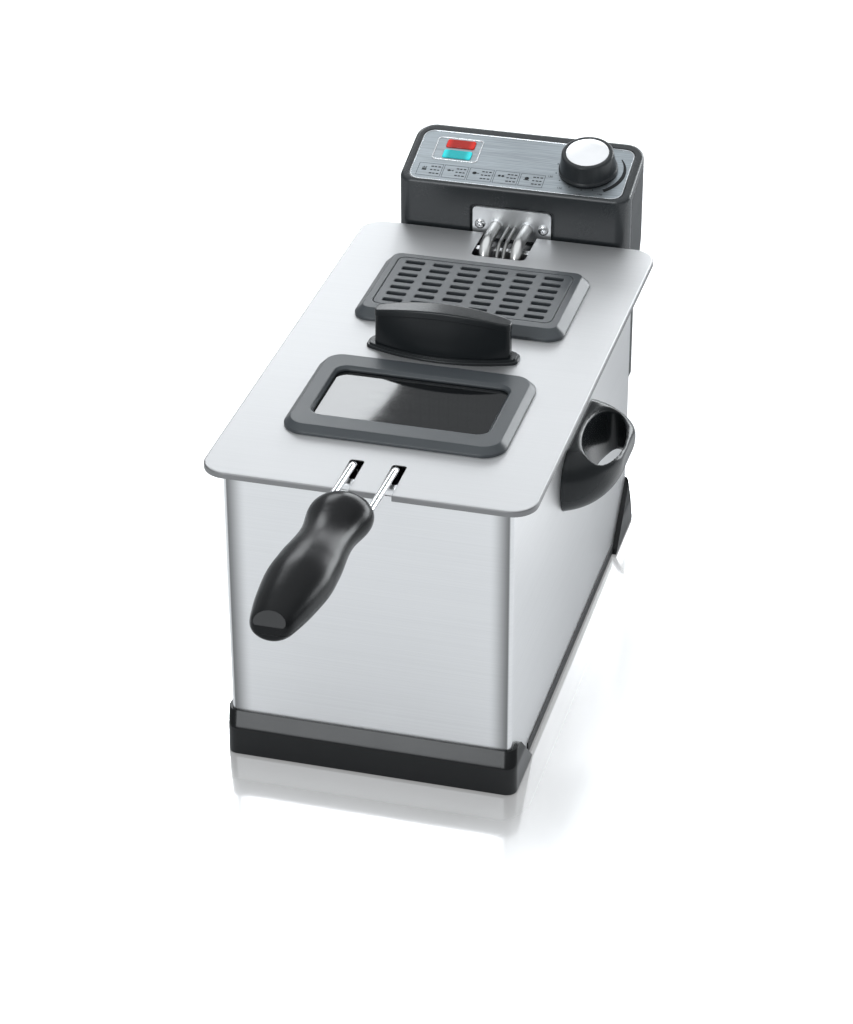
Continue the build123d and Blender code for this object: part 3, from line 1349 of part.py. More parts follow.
def arch(drop, half_width):
    """The room under the lid handle's arched top, lowered by drop."""
    low = LID_TOP
    end = LID_TOP + LID_HANDLE_END_HEIGHT - drop
    crest = LID_TOP + LID_HANDLE_CREST_HEIGHT - drop
    reach = LID_HANDLE_HALF[0] + PAST
    corners = [(reach, end), (reach, low), (-reach, low), (-reach, end)]
    top = ThreePointArc(*[(x, -half_width, z) for x, z in ((-reach, end), (0, crest), (reach, end))])
    frame = Polyline(*[(x, -half_width, z) for x, z in corners])
    face = make_face([top.edge(), *frame.edges()])
    return Pos(0, LID_HANDLE_Y, 0) * extrude(face, 2 * half_width, dir=(0, 1, 0))


def lens_solid(half, end, corner, z0, z1):
    """A bowed outline raised between two heights at the lid handle's place."""
    return Pos(0, LID_HANDLE_Y, z0) * extrude(lens_face(half[0], half[1], end, corner), z1 - z0)


def handle_foot():
    """Height of the lid handle's underside."""
    return LID_TOP + LID_HANDLE_BASE_THICKNESS + LID_HANDLE_STEP_THICKNESS


def handle_form(inset):
    """The lid handle's lens form, which leans in towards the top, moved inwards by inset."""
    faces = []
    levels = ((handle_foot(), LID_HANDLE_HALF), (LID_TOP + LID_HANDLE_CREST_HEIGHT, LID_HANDLE_TOP_HALF))
    for z, half in levels:
        face = lens_face(half[0] - inset, half[1] - inset, LID_HANDLE_END - inset, LID_HANDLE_CORNER - inset)
        faces.append(Pos(0, LID_HANDLE_Y, z) * face)
    return loft(faces, ruled=True)


def lid_handle():
    top = LID_TOP + LID_HANDLE_CREST_HEIGHT
    width = 2 * LID_HANDLE_HALF[1]
    body = handle_form(0) & arch(0, width)
    body = fillet(body.faces().sort_by(Axis.Z)[-1].edges(), LID_HANDLE_ROUNDING)
    under_lip = arch(LID_HANDLE_LIP_HEIGHT, width)
    body -= (handle_form(0) - handle_form(LID_HANDLE_LIP)) & under_lip
    room = handle_form(LID_HANDLE_WALL) & under_lip
    for x, y, z in lid_screw_spots():
        room -= rod((x, y, z), (0, 0, 1), LID_BOSS, top - z)
    body -= room
    for spot in lid_screw_spots():
        body -= screw_hole(spot, (0, 0, 1), LID_SCREW)
    return body


def lid_handle_base():
    step = LID_TOP + LID_HANDLE_BASE_THICKNESS
    base = lens_solid(LID_HANDLE_BASE_HALF, LID_HANDLE_BASE_END, LID_HANDLE_BASE_CORNER, LID_TOP, step)
    base = fillet(base.edges().group_by(Axis.Z)[-1], LID_HANDLE_BASE_EDGE)
    base += lens_solid(LID_HANDLE_STEP, LID_HANDLE_STEP_END, LID_HANDLE_STEP_CORNER, step, handle_foot())
    for spot in lid_screw_spots():
        base -= screw_hole(spot, (0, 0, 1), LID_SCREW)
    return base


def lid_handle_screws():
    return group([screw(spot, (0, 0, 1), LID_SCREW) for spot in lid_screw_spots()])


PIECES = (
    housing_shell,
    base_pan,
    front_plinth,
    rear_plinth,
    rubber_feet,
    base_screws,
    left_carry_handle,
    right_carry_handle,
    carry_handle_screws,
    guide_rails,
    rail_screws,
    interlock_pin,
    oil_tank,
    control_front_shell,
    control_rear_cover,
    rear_cover_screws,
    control_panel,
    red_lens,
    green_lens,
    lamp_holder,
    neon_lamps,
    thermostat_body,
    thermostat_nut,
    thermostat_knob,
    knob_cap,
    thermostat_spindle,
    element_plate,
    element_screws,
    heating_element,
    element_ferrules,
    sensor_tubes,
    sensor_guard,
    thermal_cutout,
    reset_button,
    cord_gland,
    interlock_switch,
    terminal_block,
    basket_floor_net,
    basket_side_nets,
    basket_rim,
    basket_base_ring,
    drain_hooks,
    handle_bracket,
    handle_wires,
    grip_upper,
    grip_lower,
    grip_screws,
    lid_panel,
    window_frame,
    window_glass,
    window_seal,
    window_clamp,
    filter_frame,
    filter_grille,
    filter_tray,
    filter_mat,
    lid_handle,
    lid_handle_base,
    lid_handle_screws,
)


def main():
    os.makedirs("parts", exist_ok=True)
    for piece in PIECES:
        name = piece.__name__
        solid = Pos(0, -ORIGIN_Y, 0) * piece()
        solid.label = name
        export_step(solid, f"parts/{name}.step")


main()
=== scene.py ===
"""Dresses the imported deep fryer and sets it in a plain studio.

Every solid gets its finish. Woven wire, cross-recess screws, softer carry handles, panel print and rims
are added.
"""

import json
import math

import bmesh
import bpy
from mathutils import Matrix, Vector


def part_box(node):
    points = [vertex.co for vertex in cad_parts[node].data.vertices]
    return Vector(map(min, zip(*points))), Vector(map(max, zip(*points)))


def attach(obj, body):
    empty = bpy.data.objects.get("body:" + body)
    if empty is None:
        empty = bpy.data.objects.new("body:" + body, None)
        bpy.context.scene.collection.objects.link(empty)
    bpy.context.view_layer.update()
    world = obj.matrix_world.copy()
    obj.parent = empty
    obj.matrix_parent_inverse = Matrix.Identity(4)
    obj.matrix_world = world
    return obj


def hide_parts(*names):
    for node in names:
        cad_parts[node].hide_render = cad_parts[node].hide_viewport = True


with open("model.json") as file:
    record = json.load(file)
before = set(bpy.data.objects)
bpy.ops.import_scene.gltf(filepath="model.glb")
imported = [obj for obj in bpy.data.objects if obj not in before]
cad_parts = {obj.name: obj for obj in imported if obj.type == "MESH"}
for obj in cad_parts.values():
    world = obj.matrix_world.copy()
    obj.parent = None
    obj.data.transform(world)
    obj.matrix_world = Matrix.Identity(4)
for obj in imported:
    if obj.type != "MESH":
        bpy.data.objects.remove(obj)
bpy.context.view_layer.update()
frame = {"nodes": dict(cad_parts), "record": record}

bl_info = {
    "name": "Deep fryer dressing",
    "version": (1, 0, 0),
    "blender": (4, 5, 0),
    "location": "View3D > Sidebar > Fryer",
    "description": "Finishes and fine pieces for the deep fryer's solids",
    "category": "Object",
}

MM = 0.001
NODES = frame["nodes"]
# Points closer than this are one point
MERGE = 1e-6

# The sloping control panel: a point at its front edge, its directions up the slope and out, and its sink
SLOPE = math.radians(15.0)
PANEL_ORIGIN = Vector((0.0, 0.24325, 0.243))
PANEL_UP = Vector((0.0, math.cos(SLOPE), math.sin(SLOPE)))
PANEL_OUT = Vector((0.0, -math.sin(SLOPE), math.cos(SLOPE)))
PANEL_SINK = 0.6 * MM
# The knob's middle on the slope, in millimetres
KNOB_PLACE = (47.0, 31.0)

# The plinths' upper faces: the height that they lean in from, how soft the knee is, and the lean
PLINTH_FACET = (20.5 * MM, 2.2 * MM, 0.53)
# The painted shade beside the housing's folds: where its strip starts and ends from the middle, and its share
# of the colour
HOUSING_FOLD_SHADE = (76.0 * MM, 91.0 * MM, 0.20)
# The lamps' lenses: their middle, where the painted highlights at their ends start and stop from there, their
# ribs and glow
LENS_X = -47.2 * MM
LENS_GLINT_ENDS = (5.0 * MM, 9.6 * MM)
LENS_RIBS = 900.0
LENS_GLOW = 0.12
# The heater: the heights between which it turns to straw, and what straw leaves of red, green and blue
HOT_BELOW = (0.16, 0.09)
STRAW = (0.80, 0.70, 0.55)

# Woven wire: points along a wire from one crossing to the next, and sides of the wire
WEAVE_STEPS = 4.0
WIRE_SIDES = 5

# Panel print: how far it lies above the panel's face, how thick it is, and half the figures' thickness
PRINT_LIFT = 0.05 * MM
PRINT_THICKNESS = 0.04 * MM
FIGURE_HALF = 0.02 * MM

# Carry handles: the grid they are remade on, passes for a rounding of one cell, and the foot left as it is
HANDLE_GRID = 0.8 * MM
HANDLE_PASSES = 6
HANDLE_FOOT = 1.2 * MM

# The pale floor, in metres
FLOOR_HALF = 6.0
FLOOR_TONE = (0.93, 0.935, 0.94)
FLOOR_GLOW = 0.31
# Its glossy patch under the fryer: half size, middle, how it fades at the sides, reach, share and shader
GLOSS_HALF = (0.09, 0.18)
GLOSS_Y = 0.06
GLOSS_SIDE_FADE = 1.7
GLOSS_REACH = 0.12
GLOSS_SHARE = 0.85
GLOSS_TONE = (0.95, 0.95, 0.95)
GLOSS_ROUGHNESS = 0.12
GLOSS_GLOW = 0.25
# The floor as the fryer mirrors it: a painted shadow, darker to the rear, left of an edge that swings out
# behind the fryer
REAR_SHADOW_TONE = (0.40, 0.405, 0.41)
REAR_SPAN = (-0.05, 0.40)
REAR_EDGE = (0.15, 0.23)
REAR_SWING_Y = 0.36
REAR_SWING = 0.9
# A painted pool of light right of that edge: its middle, where it starts and ends from there, and its glow
PATCH_Y = 0.28
PATCH_SPAN = (0.06, 0.18)
PATCH_GLOW = 0.42

# Light and camera: the heights where the surroundings turn to ceiling, and the camera's place and roll
COOL_LIGHT = (0.94, 0.975, 1.0)
CEILING_SPAN = (0.50, 0.78)
CAMERA_SPOT = Vector((0.4488, -1.6183, 1.1167))
CAMERA_AIM = Vector((0.0023, 0.0094, 0.1189))
CAMERA_ROLL = math.radians(-0.18)
SENSOR_WIDTH = 36.0


# Nodes as Python expressions


class Term:
    """A socket that Python arithmetic joins up through Math nodes."""

    def __init__(self, graph, socket):
        self.graph = graph
        self.socket = socket

    def other(self, name):
        """Another output of the same node."""
        return Term(self.graph, self.socket.node.outputs[name])

    def math(self, operation, first, second=0.0):
        return self.graph.node("ShaderNodeMath", {"operation": operation}, {0: first, 1: second})

    def __add__(self, other):
        return self.math("ADD", self, other)

    __radd__ = __add__

    def __sub__(self, other):
        return self.math("SUBTRACT", self, other)

    def __rsub__(self, other):
        return self.math("SUBTRACT", other, self)

    def __mul__(self, other):
        return self.math("MULTIPLY", self, other)

    __rmul__ = __mul__

    def __truediv__(self, other):
        return self.math("DIVIDE", self, other)

    def __pow__(self, other):
        return self.math("POWER", self, other)

    def __abs__(self):
        return self.math("ABSOLUTE", self)

    def clipped(self):
        return self.math("MAXIMUM", self, 0.0)

    def cosine(self):
        return self.math("COSINE", self)


class Graph:
    """A node tree with one method that adds any node."""

    def __init__(self, tree):
        self.tree = tree

    def node(self, kind, settings=None, sockets=None):
        """Adds a node, sets it up, fills or links its inputs and returns its first shown output."""
        made = self.tree.nodes.new(kind)
        for key, value in (settings or {}).items():
            setattr(made, key, value)
        for key, value in (sockets or {}).items():
            if isinstance(value, Term):
                self.tree.links.new(value.socket, made.inputs[key])
            else:
                made.inputs[key].default_value = value
        shown = [output for output in made.outputs if output.enabled]
        return Term(self, shown[0]) if shown else made


class Finish(Graph):
    """A material, with the patterns that the fryer's finishes are mixed from."""

    def __init__(self, name):
        self.material = bpy.data.materials.new(name)
        self.material.use_nodes = True
        super().__init__(self.material.node_tree)
        self.tree.nodes.clear()

    def place(self, stretch=1.0):
        """The piece's own coordinates, stretched by one number or by one for each axis."""
        scale = (stretch,) * 3 if isinstance(stretch, float) else stretch
        here = self.node("ShaderNodeTexCoord").other("Object")
        return self.node("ShaderNodeMapping", None, {"Vector": here, "Scale": scale})

    def spot(self):
        """The piece's own X, with its Y and Z as other outputs."""
        return self.node("ShaderNodeSeparateXYZ", None, {0: self.place()})

    def facing(self):
        """How much the surface faces along X, with Y and Z as other outputs."""
        normal = self.node("ShaderNodeNewGeometry").other("Normal")
        return self.node("ShaderNodeSeparateXYZ", None, {0: normal})

    def noise(self, cells, detail=2.0, roughness=0.5):
        """Soft noise with so many cells per metre, one number or one for each axis."""
        sockets = {"Vector": self.place(cells), "Scale": 1.0, "Detail": detail, "Roughness": roughness}
        return self.node("ShaderNodeTexNoise", None, sockets)

    def between(self, mask, low, high):
        """A colour between two by a mask. The low one may be a socket."""
        start = low if isinstance(low, Term) else (*low, 1.0)
        return self.node("ShaderNodeMix", {"data_type": "RGBA"}, {0: mask, 6: start, 7: (*high, 1.0)})

    def varied(self, mask, colour, low, high):
        """A colour that a mask takes from one share of itself to another."""
        return self.between(mask, scaled(colour, low), scaled(colour, high))

    def spread(self, value, low, high, out_low=0.0, out_high=1.0):
        """A value taken from one range to another, smooth at both ends and held there."""
        settings = {"interpolation_type": "SMOOTHSTEP"}
        sockets = {"Value": value, "From Min": low, "From Max": high, "To Min": out_low, "To Max": out_high}
        return self.node("ShaderNodeMapRange", settings, sockets)

    def rounded(self, radius):
        """Normals that round over sharp edges by a radius."""
        return self.node("ShaderNodeBevel", {"samples": 6}, {"Radius": radius})

    def bump(self, height, distance, normal=None):
        """Normals that follow a height in metres times distance."""
        sockets = {"Height": height, "Strength": 1.0, "Distance": distance}
        if normal is not None:
            sockets["Normal"] = normal
        return self.node("ShaderNodeBump", None, sockets)

    def surface(self, **sockets):
        """The surface shader, with its inputs by name, underscores for spaces."""
        named = {key.replace("_", " "): value for key, value in sockets.items()}
        shader = self.node("ShaderNodeBsdfPrincipled", None, named)
        self.node("ShaderNodeOutputMaterial", None, {"Surface": shader})
        return self.material


def scaled(colour, amount):
    """A colour made lighter or darker."""
    return tuple(min(1.0, part * amount) for part in colour[:3])


def uneven(level, *patterns):
    """A level that wavers with patterns of 0 to 1, each given with its share."""
    for pattern, share in patterns:
        level = level + (pattern - 0.5) * share
    return level


# Finishes


def brushed_metal(name, colour, lines, roughness, contrast=0.03, upright_shade=1.0, fold_shade=None, edge=0.3 * MM):
    """Sheet metal brushed with so many lines per metre along X, Y and Z. Upright faces, such as cut edges,
    and strips beside folds are darkened with painted shade.
    """
    finish = Finish(name)
    streaks = finish.noise(lines, 3.0, 0.6)
    broad = finish.noise((9.0, 9.0, 3.0))
    mask = finish.spread(streaks * 0.7 + broad * 0.3, 0.3, 0.7)
    base = finish.varied(mask, colour, 1.0 - contrast, 1.0 + contrast)
    # Painted shade: faces that stand upright take a darker share of the colour
    if upright_shade < 1.0:
        upright = finish.spread(abs(finish.facing().other("Z")), 0.97, 0.6)
        base = finish.between(upright, base, scaled(colour, upright_shade))
    # Painted shade: a darker strip beside the folds, on faces that don't face sideways
    if fold_shade:
        start, end, tone = fold_shade
        flat = finish.spread(abs(finish.facing()), 0.5, 0.2)
        strip = finish.spread(abs(finish.spot()), start, end) * flat
        base = finish.between(strip, base, scaled(colour, tone))
    return finish.surface(
        Base_Color=base,
        Metallic=1.0,
        Roughness=uneven(roughness, (streaks, 0.05), (broad, 0.06)),
        Normal=finish.bump(streaks, 0.004 * MM, finish.rounded(edge)),
    )


def polished_metal(name, colour, roughness):
    """Bright metal with faint smears and hairline marks."""
    finish = Finish(name)
    smear = finish.noise(60.0, 3.0)
    hair = finish.noise((250.0, 1400.0, 900.0))
    return finish.surface(
        Base_Color=finish.varied(smear, colour, 0.93, 1.05),
        Metallic=1.0,
        Roughness=uneven(roughness, (smear, 0.08), (hair, 0.06)),
        Normal=finish.bump(hair, 0.006 * MM, finish.rounded(0.25 * MM)),
    )


def moulded_plastic(name, colour, roughness, grain=0.012 * MM, gloss=0.4, edge=0.5 * MM, facet=None):
    """Moulded plastic with fine grain and uneven gloss. A facet makes upright faces lean in from a height."""
    finish = Finish(name)
    fine = finish.noise(2600.0, 2.0, 0.6)
    cloud = finish.noise(38.0, 3.0)
    smooth = finish.rounded(edge)
    if facet:
        low, soft, lean = facet
        rise = finish.spot().other("Z") - low
        bend = (rise * rise + soft * soft) ** 0.5 + rise
        smooth = finish.bump(bend * (-0.5 * lean), 1.0, smooth)
    return finish.surface(
        Base_Color=finish.varied(cloud, colour, 0.90, 1.12),
        Roughness=uneven(roughness, (cloud, 0.08), (fine, 0.08)),
        Normal=finish.bump(fine, grain, smooth),
        Specular_IOR_Level=gloss,
    )


def rubber(name, colour):
    """Matt rubber with a dusty bloom."""
    finish = Finish(name)
    dust = finish.noise(180.0, 4.0, 0.7)
    return finish.surface(
        Base_Color=finish.varied(finish.spread(dust, 0.4, 0.75), colour, 1.0, 1.8),
        Roughness=0.75 + dust * 0.2,
        Normal=finish.bump(finish.noise(1500.0), 0.03 * MM, finish.rounded(0.4 * MM)),
    )


def heater_tube(name, colour):
    """Satin heater tube, slightly straw coloured where it has been hot."""
    finish = Finish(name)
    mottle = finish.noise(90.0, 4.0, 0.6)
    hot = finish.spread(uneven(finish.spot().other("Z"), (mottle, 0.03)), *HOT_BELOW)
    cool = finish.varied(mottle, colour, 0.92, 1.06)
    straw = tuple(part * share for part, share in zip(colour, STRAW))
    return finish.surface(
        Base_Color=finish.between(hot, cool, straw),
        Metallic=1.0,
        Roughness=0.24 + mottle * 0.14,
        Normal=finish.bump(mottle, 0.01 * MM),
    )


def lamp_lens(name, colour):
    """A clear lamp lens over ribs, with painted highlights at its ends, faintly lit from within."""
    finish = Finish(name)
    wave = finish.node("ShaderNodeTexWave", {"bands_direction": "X"}, {0: finish.place(LENS_RIBS)})
    ribs = wave.other("Fac")
    # Painted highlight: the lens turns lighter towards its ends
    ends = finish.spread(abs(finish.spot() - LENS_X), *LENS_GLINT_ENDS)
    base = finish.varied(ends * 0.7 + ribs * 0.3, colour, 0.65, 1.6)
    return finish.surface(
        Base_Color=base,
        Roughness=0.10 + ribs * 0.08,
        Coat_Weight=0.15,
        Coat_Roughness=0.04,
        Specular_IOR_Level=0.2,
        Emission_Color=base,
        Emission_Strength=LENS_GLOW,
    )


def clear_glass(name, colour, alpha, gloss=0.5):
    """Thin clear glass with a trace of haze and wiping marks."""
    finish = Finish(name)
    haze = finish.noise((45.0, 160.0, 45.0), 4.0, 0.6)
    return finish.surface(
        Base_Color=finish.varied(haze, colour, 0.9, 1.1),
        Roughness=0.02 + haze * 0.04,
        Alpha=uneven(alpha, (haze, 0.06)),
        Specular_IOR_Level=gloss,
    )


def panel_ink(name, colour):
    """Printing ink with slightly uneven cover."""
    finish = Finish(name)
    cover = finish.noise(3000.0)
    return finish.surface(
        Base_Color=finish.varied(cover, colour, 1.0, 1.7),
        Roughness=0.45 + cover * 0.15,
        Specular_IOR_Level=0.2,
    )


# Meshes


def in_scene(name, data):
    """A new object in the scene."""
    made = bpy.data.objects.new(name, data)
    bpy.context.scene.collection.objects.link(made)
    return made


def mesh_from(build, name):
    """A mesh from a function that fills a bmesh."""
    work = bmesh.new()
    build(work)
    bmesh.ops.remove_doubles(work, verts=work.verts, dist=MERGE)
    bmesh.ops.recalc_face_normals(work, faces=work.faces)
    mesh = bpy.data.meshes.new(name)
    work.to_mesh(mesh)
    work.free()
    return mesh


def add_piece(name, mesh, material, body, replaces=(), smooth=40.0):
    """Puts a mesh in the scene as a piece that rides on a body and may stand for CAD nodes."""
    mesh.materials.clear()
    mesh.materials.append(material)
    piece = in_scene(name, mesh)
    if smooth:
        mesh.shade_smooth()
        mesh.set_sharp_from_angle(angle=math.radians(smooth))
    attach(piece, body)
    if replaces:
        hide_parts(*replaces)


def joined(meshes, name):
    """One mesh from several, each put in place by a matrix."""
    work = bmesh.new()
    for mesh, matrix in meshes:
        placed = mesh.copy()
        placed.transform(matrix)
        work.from_mesh(placed)
        bpy.data.meshes.remove(placed)
    mesh = bpy.data.meshes.new(name)
    work.to_mesh(mesh)
    work.free()
    return mesh


def panel_matrix(out=0.0):
    """From (across, up the slope, out) in metres to the object's frame, on the panel's face."""
    turn = Matrix((Vector((1, 0, 0)), PANEL_UP, PANEL_OUT)).transposed().to_4x4()
    return Matrix.Translation(PANEL_ORIGIN + PANEL_OUT * (out - PANEL_SINK)) @ turn


# Geometry node trees


class Shape(Graph):
    """A geometry node tree with named inputs."""

    KINDS = {
        float: "NodeSocketFloat",
        int: "NodeSocketInt",
        "Material": "NodeSocketMaterial",
        "Object": "NodeSocketObject",
        "Geometry": "NodeSocketGeometry",
        "Vector": "NodeSocketVector",
    }

    def __init__(self, name, inputs):
        tree = bpy.data.node_groups.new(name, "GeometryNodeTree")
        super().__init__(tree)
        for label, kind in inputs.items():
            tree.interface.new_socket(label, in_out="INPUT", socket_type=self.KINDS[kind])
        tree.interface.new_socket("Geometry", in_out="OUTPUT", socket_type="NodeSocketGeometry")
        self.given = tree.nodes.new("NodeGroupInput")

    def input(self, label):
        return Term(self, self.given.outputs[label])

    def together(self, parts):
        """Several geometries as one."""
        both = self.tree.nodes.new("GeometryNodeJoinGeometry")
        for part in parts:
            self.tree.links.new(part.socket, both.inputs[0])
        return Term(self, both.outputs[0])

    def close(self, geometry):
        """Ends the tree: instances made real, and the material set."""
        real = self.node("GeometryNodeRealizeInstances", None, {"Geometry": geometry})
        sockets = {"Geometry": real, "Material": self.input("Material")}
        painted = self.node("GeometryNodeSetMaterial", None, sockets)
        end = self.tree.nodes.new("NodeGroupOutput")
        self.tree.links.new(painted.socket, end.inputs["Geometry"])
        return self.tree


def plain_mesh(maker):
    """An object's mesh with its modifiers applied. The object is removed."""
    depsgraph = bpy.context.evaluated_depsgraph_get()
    mesh = bpy.data.meshes.new_from_object(maker.evaluated_get(depsgraph), depsgraph=depsgraph)
    bpy.data.objects.remove(maker)
    return mesh


def grown_mesh(tree, values, start=None):
    """The plain mesh that a tree gives for some input values, from a start mesh or from nothing."""
    maker = in_scene("maker", start or bpy.data.meshes.new("start"))
    modifier = maker.modifiers.new("nodes", "NODES")
    modifier.node_group = tree
    sockets = {item.name: item.identifier for item in tree.interface.items_tree if item.in_out == "INPUT"}
    for label, value in values.items():
        modifier[sockets[label]] = value
    return plain_mesh(maker)


def woven_tree():
    """A flat panel of plain-woven wire, centred, in the XY plane."""
    inputs = {
        "Width": float, "Height": float, "Columns": int, "Rows": int, "Radius": float, "Material": "Material",
    }
    shape = Shape("Woven wire", inputs)
    width, height, columns, rows, radius, _ = (shape.input(label) for label in inputs)
    here = shape.node("ShaderNodeSeparateXYZ", None, {0: shape.node("GeometryNodeInputPosition")})
    wave_x = ((here + width / 2.0) * columns / width * math.pi).cosine()
    wave_y = ((here.other("Y") + height / 2.0) * rows / height * math.pi).cosine()
    crimp = wave_x * wave_y * radius
    sockets = {"Resolution": WIRE_SIDES, "Radius": radius}
    profile = shape.node("GeometryNodeCurvePrimitiveCircle", None, sockets)
    edge = shape.node("GeometryNodeInputMeshEdgeVertices")
    ends = {0: edge.other("Position 1"), 1: edge.other("Position 2")}
    run = shape.node("ShaderNodeVectorMath", {"operation": "SUBTRACT"}, ends)
    step = shape.node("ShaderNodeSeparateXYZ", None, {0: run})
    wires = []
    for finer, unwanted, side in (("X", "Y", 1.0), ("Y", "X", -1.0)):
        steps_x, steps_y = (WEAVE_STEPS, 1.0) if finer == "X" else (1.0, WEAVE_STEPS)
        along = columns * steps_x + 1.0
        across = rows * steps_y + 1.0
        size = {"Size X": width, "Size Y": height, "Vertices X": along, "Vertices Y": across}
        sheet = shape.node("GeometryNodeMeshGrid", None, size)
        stray = shape.node("FunctionNodeCompare", None, {0: abs(step.other(unwanted)), 1: MERGE})
        settings = {"domain": "EDGE", "mode": "EDGE_FACE"}
        kept = shape.node("GeometryNodeDeleteGeometry", settings, {"Geometry": sheet, "Selection": stray})
        line = shape.node("GeometryNodeMeshToCurve", None, {"Mesh": kept})
        lift = shape.node("ShaderNodeCombineXYZ", None, {"Z": crimp * side})
        line = shape.node("GeometryNodeSetPosition", None, {"Geometry": line, "Offset": lift})
        wires.append(shape.node("GeometryNodeCurveToMesh", None, {"Curve": line, "Profile Curve": profile}))
    smooth = shape.node("GeometryNodeSetShadeSmooth", None, {"Geometry": shape.together(wires)})
    return shape.close(smooth)


def screw_tree():
    """A screw on each point of the start mesh, its shank along a direction and its head the other way."""
    inputs = {
        "Geometry": "Geometry", "Head": "Object", "Shank": "Object",
        "Direction": "Vector", "Material": "Material",
        "Head width": float, "Head height": float, "Shank width": float, "Shank length": float,
    }
    shape = Shape("Screws", inputs)
    direction = {"Vector": shape.input("Direction")}
    turn = shape.node("FunctionNodeAlignRotationToVector", {"axis": "Z"}, direction)
    parts = []
    for label, length in (("Head", "Head height"), ("Shank", "Shank length")):
        form = shape.node("GeometryNodeObjectInfo", None, {"Object": shape.input(label)}).other("Geometry")
        width = shape.input(label + " width")
        size = shape.node("ShaderNodeCombineXYZ", None, {"X": width, "Y": width, "Z": shape.input(length)})
        sockets = {"Points": shape.input("Geometry"), "Instance": form, "Rotation": turn, "Scale": size}
        parts.append(shape.node("GeometryNodeInstanceOnPoints", None, sockets))
    return shape.close(shape.together(parts))


def in_order(mesh):
    """The same mesh with its points and faces in a fixed order, because a spin gives them in any."""
    spots = [tuple(vert.co) for vert in mesh.vertices]
    places = {index: place for place, index in enumerate(sorted(range(len(spots)), key=spots.__getitem__))}
    faces = []
    for face in mesh.polygons:
        ring = [places[index] for index in face.vertices]
        first = ring.index(min(ring))
        faces.append(ring[first:] + ring[:first])
    ordered = bpy.data.meshes.new(mesh.name)
    ordered.from_pydata(sorted(spots), [], sorted(faces))
    return ordered


def turned(profile, count):
    """A closed solid turned about Z from (radius, height) points that start and end on the axis."""

    def fill(work):
        points = [work.verts.new((radius, 0.0, height)) for radius, height in profile]
        edges = [work.edges.new(pair) for pair in zip(points, points[1:])]
        axis = {"cent": (0, 0, 0), "axis": (0, 0, 1), "angle": 2 * math.pi}
        bmesh.ops.spin(work, geom=points + edges, steps=count, use_merge=True, **axis)

    return in_order(mesh_from(fill, "turned"))


def screw_head():
    """A domed head with a cross recess, one unit wide and one high, below its seat."""
    rim, rise, sides = 0.35, 0.65, 28
    arc = [math.radians(degrees) for degrees in range(0, 91, 15)]
    dome = [(0.5 * math.sin(turn), -rim - rise * math.cos(turn)) for turn in arc]
    head = in_scene("head", turned([*dome, (0.5, 0.0), (0.0, 0.0)], sides))
    arm, narrow, taper = 0.30, 0.065, 0.45
    floor, mouth = -0.25, -1.3

    def fill(work):
        for wide, deep in ((arm, narrow), (narrow, arm)):
            for vert in bmesh.ops.create_cube(work, size=2.0)["verts"]:
                inner = vert.co.z > 0.0
                vert.co.x *= wide * (taper if inner and wide > deep else 1.0)
                vert.co.y *= deep * (taper if inner and deep > wide else 1.0)
                vert.co.z = floor if inner else mouth

    cutter = in_scene("cross", mesh_from(fill, "cross"))
    cut = head.modifiers.new("cross", "BOOLEAN")
    cut.object = cutter
    cut.use_self = True
    mesh = plain_mesh(head)
    bpy.data.objects.remove(cutter)
    return mesh


def screw_shank():
    """A threaded shank with a blunt tip, one unit wide and one long, above its seat."""
    core, tip, steps, sides = 0.42, 0.3, 24, 14
    ridges = [(0.5 if step % 2 else core, step / steps) for step in range(1, steps - 1)]
    return turned([(0.0, 0.0), (core, 0.0), *ridges, (tip, 1.0), (0.0, 1.0)], sides)


def merged(node):
    """A bmesh of a CAD node with its loose triangles joined up."""
    work = bmesh.new()
    work.from_mesh(NODES[node].data)
    bmesh.ops.remove_doubles(work, verts=work.verts, dist=MERGE)
    return work


def solids_of(node):
    """The points of each separate solid in a CAD node."""
    work = merged(node)
    seen, groups = set(), []
    for vert in work.verts:
        if vert in seen:
            continue
        seen.add(vert)
        waiting, points = [vert], []
        while waiting:
            here = waiting.pop()
            points.append(here.co.copy())
            for edge in here.link_edges:
                other = edge.other_vert(here)
                if other not in seen:
                    seen.add(other)
                    waiting.append(other)
        groups.append(points)
    work.free()
    return groups


def corners(points):
    """The lowest and highest corner of some points."""
    return [tuple(pick(point[axis] for point in points) for axis in range(3)) for pick in (min, max)]


def softened(node, grid, passes, is_held):
    """A copy of a CAD node with its edges rounded over, except where a point is held."""
    work = merged(node)
    mesh = bpy.data.meshes.new("copy")
    work.to_mesh(mesh)
    work.free()
    maker = in_scene("copy", mesh)
    remesh = maker.modifiers.new("remesh", "REMESH")
    remesh.mode = "VOXEL"
    remesh.voxel_size = grid
    mesh = plain_mesh(maker)
    work = bmesh.new()
    work.from_mesh(mesh)
    free = [vert for vert in work.verts if not is_held(vert.co)]
    every_axis = {"use_axis_x": True, "use_axis_y": True, "use_axis_z": True}
    for _ in range(passes):
        bmesh.ops.smooth_vert(work, verts=free, factor=0.5, **every_axis)
    work.to_mesh(mesh)
    work.free()
    return mesh


def bar(x0, y0, x1, y1):
    """The outline of a printed bar."""
    return [(x0, y0), (x1, y0), (x1, y1), (x0, y1)]


def hollow_box(x0, y0, x1, y1, line):
    """The outlines of the four bars of a printed box."""
    return [
        bar(x0, y0, x1, y0 + line),
        bar(x0, y1 - line, x1, y1),
        bar(x0, y0, x0 + line, y1),
        bar(x1 - line, y0, x1, y1),
    ]


def disc(x, y, radius, count=16):
    """The outline of a printed disc."""
    turn = 2 * math.pi / count
    return [(x + radius * math.cos(i * turn), y + radius * math.sin(i * turn)) for i in range(count)]


# Settings


